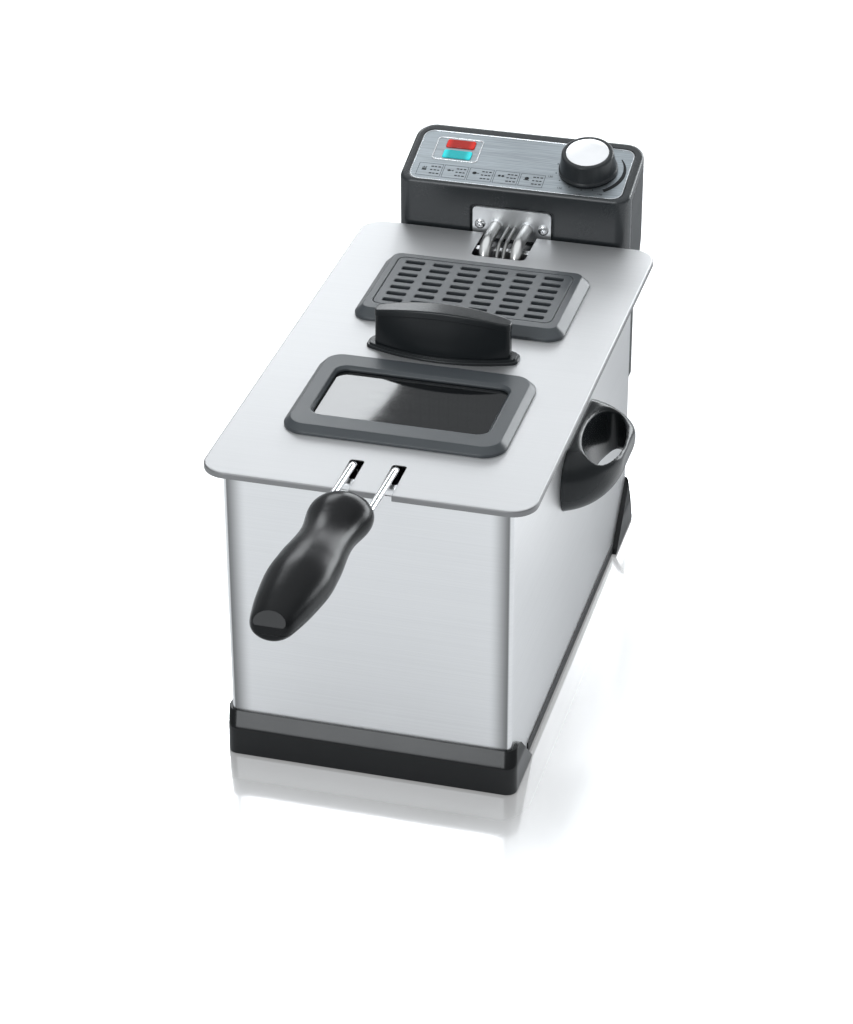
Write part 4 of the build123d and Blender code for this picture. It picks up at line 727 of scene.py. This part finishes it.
class FryerSizes(bpy.types.PropertyGroup):
    """Sizes of the fine pieces."""

    basket_pitch: bpy.props.FloatProperty(
        name="Basket pitch", description="Distance between the basket's wires",
        default=6.8 * MM, unit="LENGTH",
    )
    basket_wire: bpy.props.FloatProperty(
        name="Basket wire", description="Diameter of the basket's woven wire",
        default=1.2 * MM, unit="LENGTH",
    )
    screen_pitch: bpy.props.FloatProperty(
        name="Filter pitch", description="Distance between the filter screen's wires",
        default=2.3 * MM, unit="LENGTH",
    )
    screen_wire: bpy.props.FloatProperty(
        name="Filter wire", description="Diameter of the filter screen's wire",
        default=0.8 * MM, unit="LENGTH",
    )
    handle_rounding: bpy.props.FloatProperty(
        name="Handle rounding", description="How far the carry handles are rounded over",
        default=1.6 * MM, unit="LENGTH",
    )
    print_line: bpy.props.FloatProperty(
        name="Print line", description="Width of the printed lines on the panel",
        default=0.3 * MM, unit="LENGTH",
    )
    print_height: bpy.props.FloatProperty(
        name="Figure height", description="Height of the dial's figures",
        default=2.6 * MM, unit="LENGTH",
    )


class FryerColours(bpy.types.PropertyGroup):
    """Colours of the finishes."""

    housing: bpy.props.FloatVectorProperty(
        name="Housing", description="Brushed sheet of the housing",
        default=(0.735, 0.735, 0.74), subtype="COLOR",
    )
    lid: bpy.props.FloatVectorProperty(
        name="Lid", description="Satin sheet of the lid",
        default=(0.585, 0.585, 0.59), subtype="COLOR",
    )
    charcoal: bpy.props.FloatVectorProperty(
        name="Charcoal", description="Frames and grille on the lid",
        default=(0.050, 0.057, 0.063), subtype="COLOR",
    )
    dark: bpy.props.FloatVectorProperty(
        name="Dark", description="Control unit and handles",
        default=(0.011, 0.013, 0.0145), subtype="COLOR",
    )
    black: bpy.props.FloatVectorProperty(
        name="Black", description="Grip and plinths",
        default=(0.0045, 0.005, 0.0056), subtype="COLOR",
    )
    red: bpy.props.FloatVectorProperty(
        name="Red lamp", description="Power lamp's lens",
        default=(0.50, 0.020, 0.012), subtype="COLOR",
    )
    green: bpy.props.FloatVectorProperty(
        name="Green lamp", description="Ready lamp's lens",
        default=(0.026, 0.54, 0.57), subtype="COLOR",
    )


class FryerStage(bpy.types.PropertyGroup):
    """The studio round the fryer."""

    lens: bpy.props.FloatProperty(
        name="Lens", description="Focal length in millimetres", default=106.6, unit="CAMERA"
    )
    haze: bpy.props.FloatProperty(
        name="Surroundings", description="Brightness low down round the studio", default=0.38
    )
    sky: bpy.props.FloatProperty(name="Ceiling", description="Brightness overhead", default=1.1)
    backdrop: bpy.props.FloatProperty(
        name="Backdrop", description="Extra white behind the fryer", default=1.0
    )
    lamps: bpy.props.FloatProperty(
        name="Lamps", description="Strength of the soft lamps", default=1.0
    )


# Operators


class FRYER_OT_finishes(bpy.types.Operator):
    """Give every solid its finish"""

    bl_idname = "fryer.finishes"
    bl_label = "Finishes"

    def execute(self, context):
        slots = {part["node"]: part["material_slot"] for part in frame["record"]["subparts"]}
        finishes = {**self.metals(context), **self.plastics(context), **self.glass(context)}
        special = {"sensor_tubes": heater_tube("Sensor tube", (0.30, 0.30, 0.295))}
        for name, node in NODES.items():
            node.data.materials.clear()
            node.data.materials.append(special.get(name) or finishes[slots[name]])
        return {"FINISHED"}

    def metals(self, context):
        """Sheets, wires and screws by material slot."""
        colours = context.scene.fryer_colours
        steel, lid = tuple(colours.housing), tuple(colours.lid)
        aluminium = (0.37, 0.405, 0.43)
        # Brushing, in lines per metre along X, Y and Z
        housing_lines, lid_lines = (4.0, 4.0, 1800.0), (5.0, 1600.0, 1600.0)
        tank_lines, panel_lines = (7.0, 7.0, 900.0), (30.0, 1300.0, 1300.0)
        return {
            "housing_steel": brushed_metal("Housing steel", steel, housing_lines, 0.34, fold_shade=HOUSING_FOLD_SHADE),
            "lid_steel": brushed_metal("Lid steel", lid, lid_lines, 0.50, upright_shade=0.42),
            "tank_steel": brushed_metal("Tank steel", steel, tank_lines, 0.28),
            "panel_aluminium": brushed_metal(
                "Panel aluminium", aluminium, panel_lines, 0.40, contrast=0.22, edge=0.9 * MM
            ),
            "screw_steel": polished_metal("Screw steel", (0.74, 0.75, 0.76), 0.22),
            "plate_steel": polished_metal("Plate steel", (0.80, 0.81, 0.82), 0.40),
            "heater_steel": heater_tube("Heater tube", (0.72, 0.72, 0.71)),
            "wire_chrome": polished_metal("Wire chrome", (0.88, 0.89, 0.90), 0.10),
            "knob_silver": polished_metal("Knob cap", (0.92, 0.92, 0.93), 0.34),
            "spindle_brass": polished_metal("Brass", (0.72, 0.55, 0.26), 0.22),
            "filter_wire": polished_metal("Filter wire", (0.22, 0.23, 0.24), 0.35),
        }

    def plastics(self, context):
        """Mouldings, paint and rubber by material slot."""
        colours = context.scene.fryer_colours
        charcoal, dark, black = tuple(colours.charcoal), tuple(colours.dark), tuple(colours.black)
        unit = scaled(dark, 1.7)
        return {
            "base_black": moulded_plastic("Base paint", black, 0.45),
            "plinth_plastic": moulded_plastic("Plinth plastic", black, 0.22, gloss=0.33, facet=PLINTH_FACET),
            "frame_plastic": moulded_plastic("Frame plastic", charcoal, 0.32, gloss=0.45, edge=1.2 * MM),
            "handle_plastic": moulded_plastic("Handle plastic", dark, 0.22, gloss=0.3, edge=0.8 * MM),
            "grip_plastic": moulded_plastic("Grip plastic", black, 0.24, grain=0.006 * MM, gloss=0.16),
            "unit_plastic": moulded_plastic("Control unit plastic", unit, 0.26, gloss=0.55, edge=2.0 * MM),
            "cover_plastic": moulded_plastic("Rear cover plastic", scaled(dark, 1.4), 0.40),
            "inner_plastic": moulded_plastic("Inner plastic", (0.70, 0.67, 0.60), 0.5),
            "rail_plastic": moulded_plastic("Rail plastic", black, 0.4),
            "knob_black": moulded_plastic("Knob plastic", scaled(dark, 1.5), 0.30, edge=1.5 * MM),
            "rubber_black": rubber("Black rubber", (0.018, 0.018, 0.019)),
            "seal_rubber": rubber("Seal rubber", (0.30, 0.26, 0.22)),
        }

    def glass(self, context):
        """Lenses and glass by material slot."""
        colours = context.scene.fryer_colours
        return {
            "lens_red": lamp_lens("Red lens", tuple(colours.red)),
            "lens_green": lamp_lens("Green lens", tuple(colours.green)),
            "window_glass": clear_glass("Window glass", (0.006, 0.007, 0.008), 0.86, gloss=1.0),
            "lamp_glass": clear_glass("Lamp glass", (0.8, 0.6, 0.5), 0.35),
        }


class FRYER_OT_basket(bpy.types.Operator):
    """Weave the basket's floor and sides from crimped wire"""

    bl_idname = "fryer.basket"
    bl_label = "Woven basket"

    def execute(self, context):
        sizes = context.scene.fryer_sizes
        tree = woven_tree()
        wire = polished_metal("Basket wire", (0.56, 0.57, 0.58), 0.22)
        low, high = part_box("basket_side_nets")
        floor_low, floor_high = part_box("basket_floor_net")
        inset = sizes.basket_wire

        def panel(width, height):
            values = {
                "Width": width,
                "Height": height,
                "Columns": round(width / sizes.basket_pitch),
                "Rows": round(height / sizes.basket_pitch),
                "Radius": sizes.basket_wire / 2,
                "Material": wire,
            }
            return grown_mesh(tree, values)

        size = floor_high - floor_low
        middle = (floor_low + floor_high) / 2
        floor = joined([(panel(size.x, size.y), Matrix.Translation(middle))], "basket_floor_weave")
        add_piece("basket_floor_weave", floor, wire, "basket", ["basket_floor_net"], 0)

        size = high - low
        middle = (low + high) / 2
        upright = Matrix.Rotation(math.radians(90), 4, "X")
        long_turn = Matrix.Rotation(math.radians(90), 4, "Z") @ upright
        long_side = panel(size.y - inset, size.z)
        short_side = panel(size.x - inset, size.z)
        places = []
        for side in (-1, 1):
            offset = Vector((side * (size.x / 2 - inset), 0, 0))
            places.append((long_side, Matrix.Translation(middle + offset) @ long_turn))
            offset = Vector((0, side * (size.y / 2 - inset), 0))
            places.append((short_side, Matrix.Translation(middle + offset) @ upright))
        sides = joined(places, "basket_side_weave")
        add_piece("basket_side_weave", sides, wire, "basket", ["basket_side_nets"], 0)
        return {"FINISHED"}


class FRYER_OT_filter_screen(bpy.types.Operator):
    """Weave the filter's wire screen"""

    bl_idname = "fryer.filter_screen"
    bl_label = "Filter screen"

    def execute(self, context):
        sizes = context.scene.fryer_sizes
        wire = bpy.data.materials["Filter wire"]
        low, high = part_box("filter_mat")
        size = high - low
        values = {
            "Width": size.x - sizes.screen_wire,
            "Height": size.y - sizes.screen_wire,
            "Columns": round(size.x / sizes.screen_pitch),
            "Rows": round(size.y / sizes.screen_pitch),
            "Radius": sizes.screen_wire / 2,
            "Material": wire,
        }
        mesh = grown_mesh(woven_tree(), values)
        mesh.transform(Matrix.Translation((low + high) / 2))
        add_piece("filter_screen", mesh, wire, "lid", ["filter_mat"], 0)
        return {"FINISHED"}


class FRYER_OT_screws(bpy.types.Operator):
    """Set cross-recess screws where the solids have their plain ones"""

    bl_idname = "fryer.screws"
    bl_label = "Screws"

    # Node, body, shank direction, then head width and height, shank width and length in millimetres
    SETS = (
        ("base_screws", "housing", (0, 0, -1), (7.0, 2.2, 3.4, 4.4)),
        ("rail_screws", "housing", (0, 1, 0), (6.0, 1.8, 2.9, 6.6)),
        ("rear_cover_screws", "control_unit", (0, -1, 0), (5.8, 2.2, 2.9, 16.0)),
        ("element_screws", "control_unit", (0, 1, 0), (7.4, 1.9, 3.6, 9.0)),
        ("grip_screws", "basket", (0, 0, 1), (6.0, 2.2, 2.9, 11.0)),
        ("lid_handle_screws", "lid", (0, 0, 1), (7.0, 2.0, 3.4, 10.0)),
    )

    def execute(self, context):
        tree = screw_tree()
        steel = bpy.data.materials["Screw steel"]
        head = in_scene("head", screw_head())
        shank = in_scene("shank", screw_shank())
        for node, body, direction, size in self.SETS:
            width, height, shank_width, shank_length = (length * MM for length in size)
            start = bpy.data.meshes.new("seats")
            start.from_pydata(self.seats(node, Vector(direction), height), [], [])
            values = {
                "Head": head, "Shank": shank, "Direction": direction, "Material": steel,
                "Head width": width, "Head height": height,
                "Shank width": shank_width, "Shank length": shank_length,
            }
            mesh = grown_mesh(tree, values, start)
            add_piece(node + "_cross", mesh, steel, body, [node], 30.0)
        bpy.data.objects.remove(head)
        bpy.data.objects.remove(shank)
        return {"FINISHED"}

    def seats(self, node, direction, height):
        """The point under each head of a node's screws."""
        spots = []
        for points in solids_of(node):
            middle = sum((Vector(side) for side in corners(points)), Vector()) / 2
            top = min(point.dot(direction) for point in points)
            spots.append(middle + direction * (top + height - middle.dot(direction)))
        return spots


class FRYER_OT_carry_handles(bpy.types.Operator):
    """Round over the moulded carry handles"""

    bl_idname = "fryer.carry_handles"
    bl_label = "Carry handles"

    def execute(self, context):
        plastic = bpy.data.materials["Handle plastic"]
        rounding = context.scene.fryer_sizes.handle_rounding
        passes = round((rounding / HANDLE_GRID) ** 2 * HANDLE_PASSES)
        for side in ("left", "right"):
            node = side + "_carry_handle"
            low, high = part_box(node)
            wall = min(abs(low.x), abs(high.x)) + HANDLE_FOOT
            mesh = softened(node, HANDLE_GRID, passes, lambda point: abs(point.x) < wall)
            add_piece(node + "_moulding", mesh, plastic, "housing", [node], 60.0)
        return {"FINISHED"}


class FRYER_OT_panel_print(bpy.types.Operator):
    """Print the programme boxes, the dial's figures and its arc on the control panel"""

    bl_idname = "fryer.panel_print"
    bl_label = "Panel print"

    # The programme boxes in millimetres on the slope: first left edge, pitch, width, bottom and top
    BOXES = (-71.0, 18.3, 17.3, 6.4, 20.0)
    # Each box's dashes: their first corner in the box, their pitch across and up, and their height
    DASHES = ((9.0, 2.6), (2.5, 3.7), 1.1)
    DASH_LENGTHS = (1.9, 1.6)
    # The middle of each box's picture, and the unit that it is drawn in
    PICTURE = (4.8, 8.2)
    PICTURE_UNIT = 0.8 * MM
    # The dial's dots: their angles, their distance from the knob's middle and their radius
    DOTS = ((172, 198, 220, 246, 270, 290), 22.3, 0.55)
    # The dial's arc: radius, half width at its thin and thick place, first angle, sweep and number of steps,
    # then how much sooner than its end it stops swelling, and the share of a half wave that it swells by
    ARC = (25.4, 0.4, 1.5, 36, 90, 40)
    SWELL = (1.25, 0.55)
    # The dial's figures: text, angle and distance from the knob's middle
    FIGURES = (("130", 205, 27.0), ("150", 236, 27.4), ("170", 268, 27.6), ("190", 298, 28.2))

    def execute(self, context):
        sizes = context.scene.fryer_sizes
        ink = panel_ink("Panel ink", (0.010, 0.011, 0.012))
        shapes = [*self.boxes(sizes.print_line), *self.dots(), *self.arc()]

        def fill(work):
            for shape in shapes:
                work.faces.new([work.verts.new((x, y, 0.0)) for x, y in shape])
            bmesh.ops.solidify(work, geom=work.faces[:], thickness=PRINT_THICKNESS)

        face = panel_matrix(PRINT_LIFT)
        places = [(mesh_from(fill, "marks"), face)]
        for text, degrees, radius in self.FIGURES:
            x, y = self.round_knob(radius * MM, degrees)
            places.append((self.figure(text, sizes.print_height), face @ Matrix.Translation((x, y, 0))))
        mesh = joined(places, "panel_print")
        add_piece("panel_print", mesh, ink, "control_unit", smooth=0)
        return {"FINISHED"}

    def boxes(self, line):
        """The outlines of the programme boxes, each with three rows of dashes and a picture."""
        left, pitch, wide, low, high = (size * MM for size in self.BOXES)
        (dash_x, dash_y), (step_x, step_y), dash_height = self.DASHES
        shapes = []
        for index in range(5):
            x = left + index * pitch
            shapes += hollow_box(x, low, x + wide, high, line)
            for row in range(3):
                y = low + (dash_y + step_y * row) * MM
                for dash in range(3):
                    start = x + (dash_x + step_x * dash) * MM
                    length = self.DASH_LENGTHS[(row + dash) % 2] * MM
                    shapes.append(bar(start, y, start + length, y + dash_height * MM))
            shapes += self.picture(index, x + self.PICTURE[0] * MM, low + self.PICTURE[1] * MM)
        return shapes

    def picture(self, index, x, y):
        """A small plain picture for one programme box: chips, fish, drumstick, rings or a fritter."""
        unit = self.PICTURE_UNIT

        def block(x0, y0, x1, y1):
            return bar(x + x0 * unit, y + y0 * unit, x + x1 * unit, y + y1 * unit)

        def ball(x0, y0, radius):
            return disc(x + x0 * unit, y + y0 * unit, radius * unit)

        def outline(*points):
            return [(x + x0 * unit, y + y0 * unit) for x0, y0 in points]

        chips = [block(stick - 2, -1, stick - 1.4, 1.2 + stick % 2) for stick in range(4)]
        pictures = (
            [*chips, block(-2.2, -3, 1.8, -1.2)],
            [outline((-3, 0), (-1, -1.4), (1.6, 0), (-1, 1.4)), outline((1.4, 0), (3, -1.3), (3, 1.3))],
            [ball(-1, 0, 1.9), block(0.8, -0.4, 3.2, 0.4)],
            [ball(-1.6, 0, 1.3), ball(1.6, 0, 1.3)],
            [ball(0, 0.4, 2.0), block(-2.6, -2.2, 2.6, -1.4)],
        )
        return pictures[index]

    def round_knob(self, radius, degrees):
        """The point of the panel at a distance and an angle from the knob's middle."""
        knob = Vector(KNOB_PLACE) * MM
        turn = math.radians(degrees)
        return knob.x + radius * math.cos(turn), knob.y + radius * math.sin(turn)

    def dots(self):
        """The outlines of the dots round the knob."""
        angles, reach, radius = self.DOTS
        return [disc(*self.round_knob(reach * MM, degrees), radius * MM, 10) for degrees in angles]

    def arc(self):
        """The outlines of the short pieces of the arc, which swells along the knob."""
        radius, thin, thick = (size * MM for size in self.ARC[:3])
        first, sweep, count = self.ARC[3:]
        haste, wave = self.SWELL
        shapes = []
        for index in range(count):
            quad = []
            for step, edge in ((index, -1), (index + 1, -1), (index + 1, 1), (index, 1)):
                share = step / count
                half = thin + (thick - thin) * math.sin(math.pi * min(1.0, share * haste) * wave)
                quad.append(self.round_knob(radius + edge * half, first - sweep * share))
            shapes.append(quad)
        return shapes

    def figure(self, text, height):
        """A number as a flat mesh, centred."""
        curve = bpy.data.curves.new("figure", "FONT")
        curve.body = text
        curve.size = height
        curve.align_x = "CENTER"
        curve.align_y = "CENTER"
        curve.extrude = FIGURE_HALF
        return plain_mesh(in_scene("figure", curve))


class FRYER_OT_panel_rims(bpy.types.Operator):
    """Raise a thin bright frame round the two lamps and along the panel's edge"""

    bl_idname = "fryer.panel_rims"
    bl_label = "Panel rims"

    # Name, finish, middle, half size, corner, width and height in millimetres on the slope
    RIMS = (
        ("lamp_bezel", "Bezel chrome", (-48.2, 37.6), (16.6, 12.6), 3.0, 1.0, 0.45),
        ("panel_rim", "Panel rim", (0.0, 29.7), (75.9, 27.4), 7.9, 0.9, 0.3),
    )
    # How far the foot of a rim clears the panel, and the steps round each corner
    FOOT = 0.02 * MM
    CORNER_STEPS = 6

    def execute(self, context):
        polished_metal("Bezel chrome", (0.85, 0.86, 0.87), 0.12)
        polished_metal("Panel rim", (0.80, 0.82, 0.84), 0.24)
        for name, finish, middle, half, *sizes in self.RIMS:
            corner, width, height = (size * MM for size in sizes)
            mesh = self.rim(Vector(middle) * MM, Vector(half) * MM, corner, width, height)
            mesh.transform(panel_matrix())
            add_piece(name, mesh, bpy.data.materials[finish], "control_unit")
        return {"FINISHED"}

    def rim(self, middle, half, corner, width, height):
        """A low frame with sloping sides along a rounded rectangle."""
        section = ((0.0, self.FOOT), (0.25 * width, height), (0.75 * width, height), (width, self.FOOT))

        def outline(inset):
            points = []
            for side_x, side_y, start in ((1, 1, 0), (-1, 1, 90), (-1, -1, 180), (1, -1, 270)):
                for step in range(self.CORNER_STEPS + 1):
                    turn = math.radians(start + 90 / self.CORNER_STEPS * step)
                    reach = corner - inset
                    x = middle.x + side_x * (half.x - corner) + reach * math.cos(turn)
                    y = middle.y + side_y * (half.y - corner) + reach * math.sin(turn)
                    points.append((x, y))
            return points

        def fill(work):
            rings = [[work.verts.new((x, y, z)) for x, y in outline(inset)] for inset, z in section]
            count = len(rings[0])
            for near, far in zip(rings, rings[1:] + rings[:1]):
                for i in range(count):
                    work.faces.new((near[i], near[(i + 1) % count], far[(i + 1) % count], far[i]))

        return mesh_from(fill, "rim")


class FRYER_OT_stage(bpy.types.Operator):
    """Set out the pale floor, the soft light and the camera"""

    bl_idname = "fryer.stage"
    bl_label = "Stage"

    # Name, shape, place, aim, size and power of each soft lamp
    LAMPS = (
        ("rear_lamp", "ELLIPSE", (-0.71, 1.47, 0.97), (-0.05, 0.0, 0.2), (0.60, 0.44), 3.3),
        ("rear_right_lamp", "RECTANGLE", (0.15, 1.55, 0.58), (0.0, 0.0, 0.2), (1.1, 0.55), 8.8),
        ("low_right_lamp", "RECTANGLE", (1.15, 1.60, 0.45), (0.0, 0.0, 0.2), (0.9, 0.6), 12.2),
        ("front_lamp", "RECTANGLE", (-0.60, -2.10, 1.25), (0.0, 0.0, 0.1), (0.8, 1.2), 17.5),
    )

    def execute(self, context):
        settings = context.scene.fryer_stage
        self.floor()
        self.surroundings(settings)
        self.lamps(settings)
        self.camera(settings)
        return {"FINISHED"}

    def floor(self):
        """A wide sheet that shows a faint image of the fryer, and that lights it from below."""

        def fill(work):
            bmesh.ops.create_grid(work, x_segments=1, y_segments=1, size=FLOOR_HALF)

        finish = Finish("Pale floor")
        here = finish.spot()
        paths = finish.node("ShaderNodeLightPath")
        sockets = {0: paths, 1: self.mirrored_floor(finish, here), 2: self.seen_floor(finish, here)}
        both = finish.node("ShaderNodeMixShader", None, sockets)
        finish.node("ShaderNodeOutputMaterial", None, {"Surface": both})
        mesh = mesh_from(fill, "floor")
        mesh.materials.append(finish.material)
        floor = in_scene("floor", mesh)

    def matt(self, finish, tone, shine, glow):
        """A matt floor shader that gives off some light."""
        sockets = {
            "Base Color": tone, "Roughness": 1.0, "Specular IOR Level": 0.0,
            "Emission Color": shine, "Emission Strength": glow,
        }
        return finish.node("ShaderNodeBsdfPrincipled", None, sockets)

    def seen_floor(self, finish, here):
        """The floor as the camera sees it: matt, and glossy under the fryer."""
        white = (1.0, 1.0, 1.0, 1.0)
        half_x, half_y = GLOSS_HALF
        side = (abs(here) - half_x).clipped() * GLOSS_SIDE_FADE
        end = (abs(here.other("Y") - GLOSS_Y) - half_y).clipped()
        outside = (side**2.0 + end**2.0) ** 0.5
        sheen = finish.spread(outside, 0.0, GLOSS_REACH, GLOSS_SHARE, 0.0)
        gloss = {
            "Base Color": (*GLOSS_TONE, 1.0), "Metallic": 1.0, "Roughness": GLOSS_ROUGHNESS,
            "Emission Color": white, "Emission Strength": GLOSS_GLOW,
        }
        matt = self.matt(finish, (*FLOOR_TONE, 1.0), white, FLOOR_GLOW)
        wet = finish.node("ShaderNodeBsdfPrincipled", None, gloss)
        return finish.node("ShaderNodeMixShader", None, {0: sheen, 1: matt, 2: wet})

    def mirrored_floor(self, finish, here):
        """The floor as the fryer mirrors it: a painted shadow, darker towards the rear, and a painted pool of
        light to the right.
        """
        y = here.other("Y")
        behind = (y - REAR_SWING_Y).clipped()
        near = finish.spread(here - behind * REAR_SWING, *REAR_EDGE, 1.0, 0.0)
        # Painted shadow: darker towards the rear, left of the edge
        tone = finish.between(finish.spread(y, *REAR_SPAN) * near, FLOOR_TONE, REAR_SHADOW_TONE)
        # Painted light: a glowing patch right of the edge
        light_patch = finish.spread(abs(y - PATCH_Y), *PATCH_SPAN, 1.0, 0.0) * (1.0 - near)
        shine = finish.between(light_patch, (0.0, 0.0, 0.0), (1.0, 1.0, 1.0))
        return self.matt(finish, tone, shine, PATCH_GLOW)

    def surroundings(self, settings):
        """A white studio, brighter overhead."""
        scene = bpy.context.scene
        scene.view_settings.view_transform = "Standard"
        world = bpy.data.worlds.new("White studio")
        world.use_nodes = True
        studio = Graph(world.node_tree)
        up = studio.node("ShaderNodeSeparateXYZ", None, {0: studio.node("ShaderNodeTexCoord")}).other("Z")
        low, high = CEILING_SPAN
        span = {"From Min": low, "From Max": high, "To Min": settings.haze, "To Max": settings.sky}
        paths = studio.node("ShaderNodeLightPath")
        glow = studio.node("ShaderNodeMapRange", None, {"Value": up, **span}) + paths * settings.backdrop
        sky = studio.tree.nodes["Background"].inputs
        studio.tree.links.new(glow.socket, sky["Strength"])
        sky["Color"].default_value = (*COOL_LIGHT, 1.0)
        scene.world = world

    def lamps(self, settings):
        """Soft lamps that the camera doesn't see."""
        for name, shape, spot, aim, size, power in self.LAMPS:
            data = bpy.data.lights.new(name, "AREA")
            data.energy = power * settings.lamps
            data.color = COOL_LIGHT
            data.shape = shape
            data.size, data.size_y = size
            lamp = in_scene(name, data)
            lamp.location = spot
            lamp.visible_camera = False
            lamp.rotation_euler = (Vector(aim) - Vector(spot)).to_track_quat("-Z", "Y").to_euler()

    def camera(self, settings):
        """The camera at the photograph's viewing angle."""
        data = bpy.data.cameras.new("camera")
        data.lens = settings.lens
        data.sensor_width = SENSOR_WIDTH
        camera = in_scene("camera", data)
        look = (CAMERA_AIM - CAMERA_SPOT).to_track_quat("-Z", "Y").to_matrix().to_4x4()
        roll = Matrix.Rotation(CAMERA_ROLL, 4, "Z")
        camera.matrix_world = Matrix.Translation(CAMERA_SPOT) @ look @ roll
        bpy.context.scene.camera = camera


class FRYER_PT_sidebar(bpy.types.Panel):
    """The fryer's steps and settings"""

    bl_idname = "FRYER_PT_sidebar"
    bl_label = "Deep fryer"
    bl_space_type = "VIEW_3D"
    bl_region_type = "UI"
    bl_category = "Fryer"

    def draw(self, context):
        for step in STEPS:
            self.layout.operator(step.bl_idname)
        for group in GROUPS:
            settings = getattr(context.scene, group)
            for name in settings.bl_rna.properties.keys():
                if name not in ("rna_type", "name"):
                    self.layout.prop(settings, name)


STEPS = (
    FRYER_OT_finishes,
    FRYER_OT_basket,
    FRYER_OT_filter_screen,
    FRYER_OT_screws,
    FRYER_OT_carry_handles,
    FRYER_OT_panel_print,
    FRYER_OT_panel_rims,
    FRYER_OT_stage,
)
GROUPS = {"fryer_sizes": FryerSizes, "fryer_colours": FryerColours, "fryer_stage": FryerStage}
CLASSES = (*GROUPS.values(), *STEPS, FRYER_PT_sidebar)


def register():
    for kind in CLASSES:
        bpy.utils.register_class(kind)
    for name, kind in GROUPS.items():
        setattr(bpy.types.Scene, name, bpy.props.PointerProperty(type=kind))


def unregister():
    for name in GROUPS:
        delattr(bpy.types.Scene, name)
    for kind in reversed(CLASSES):
        bpy.utils.unregister_class(kind)


def main():
    register()
    for step in STEPS:
        category, name = step.bl_idname.split(".")
        getattr(getattr(bpy.ops, category), name)()


if __name__ == "__main__":
    main()
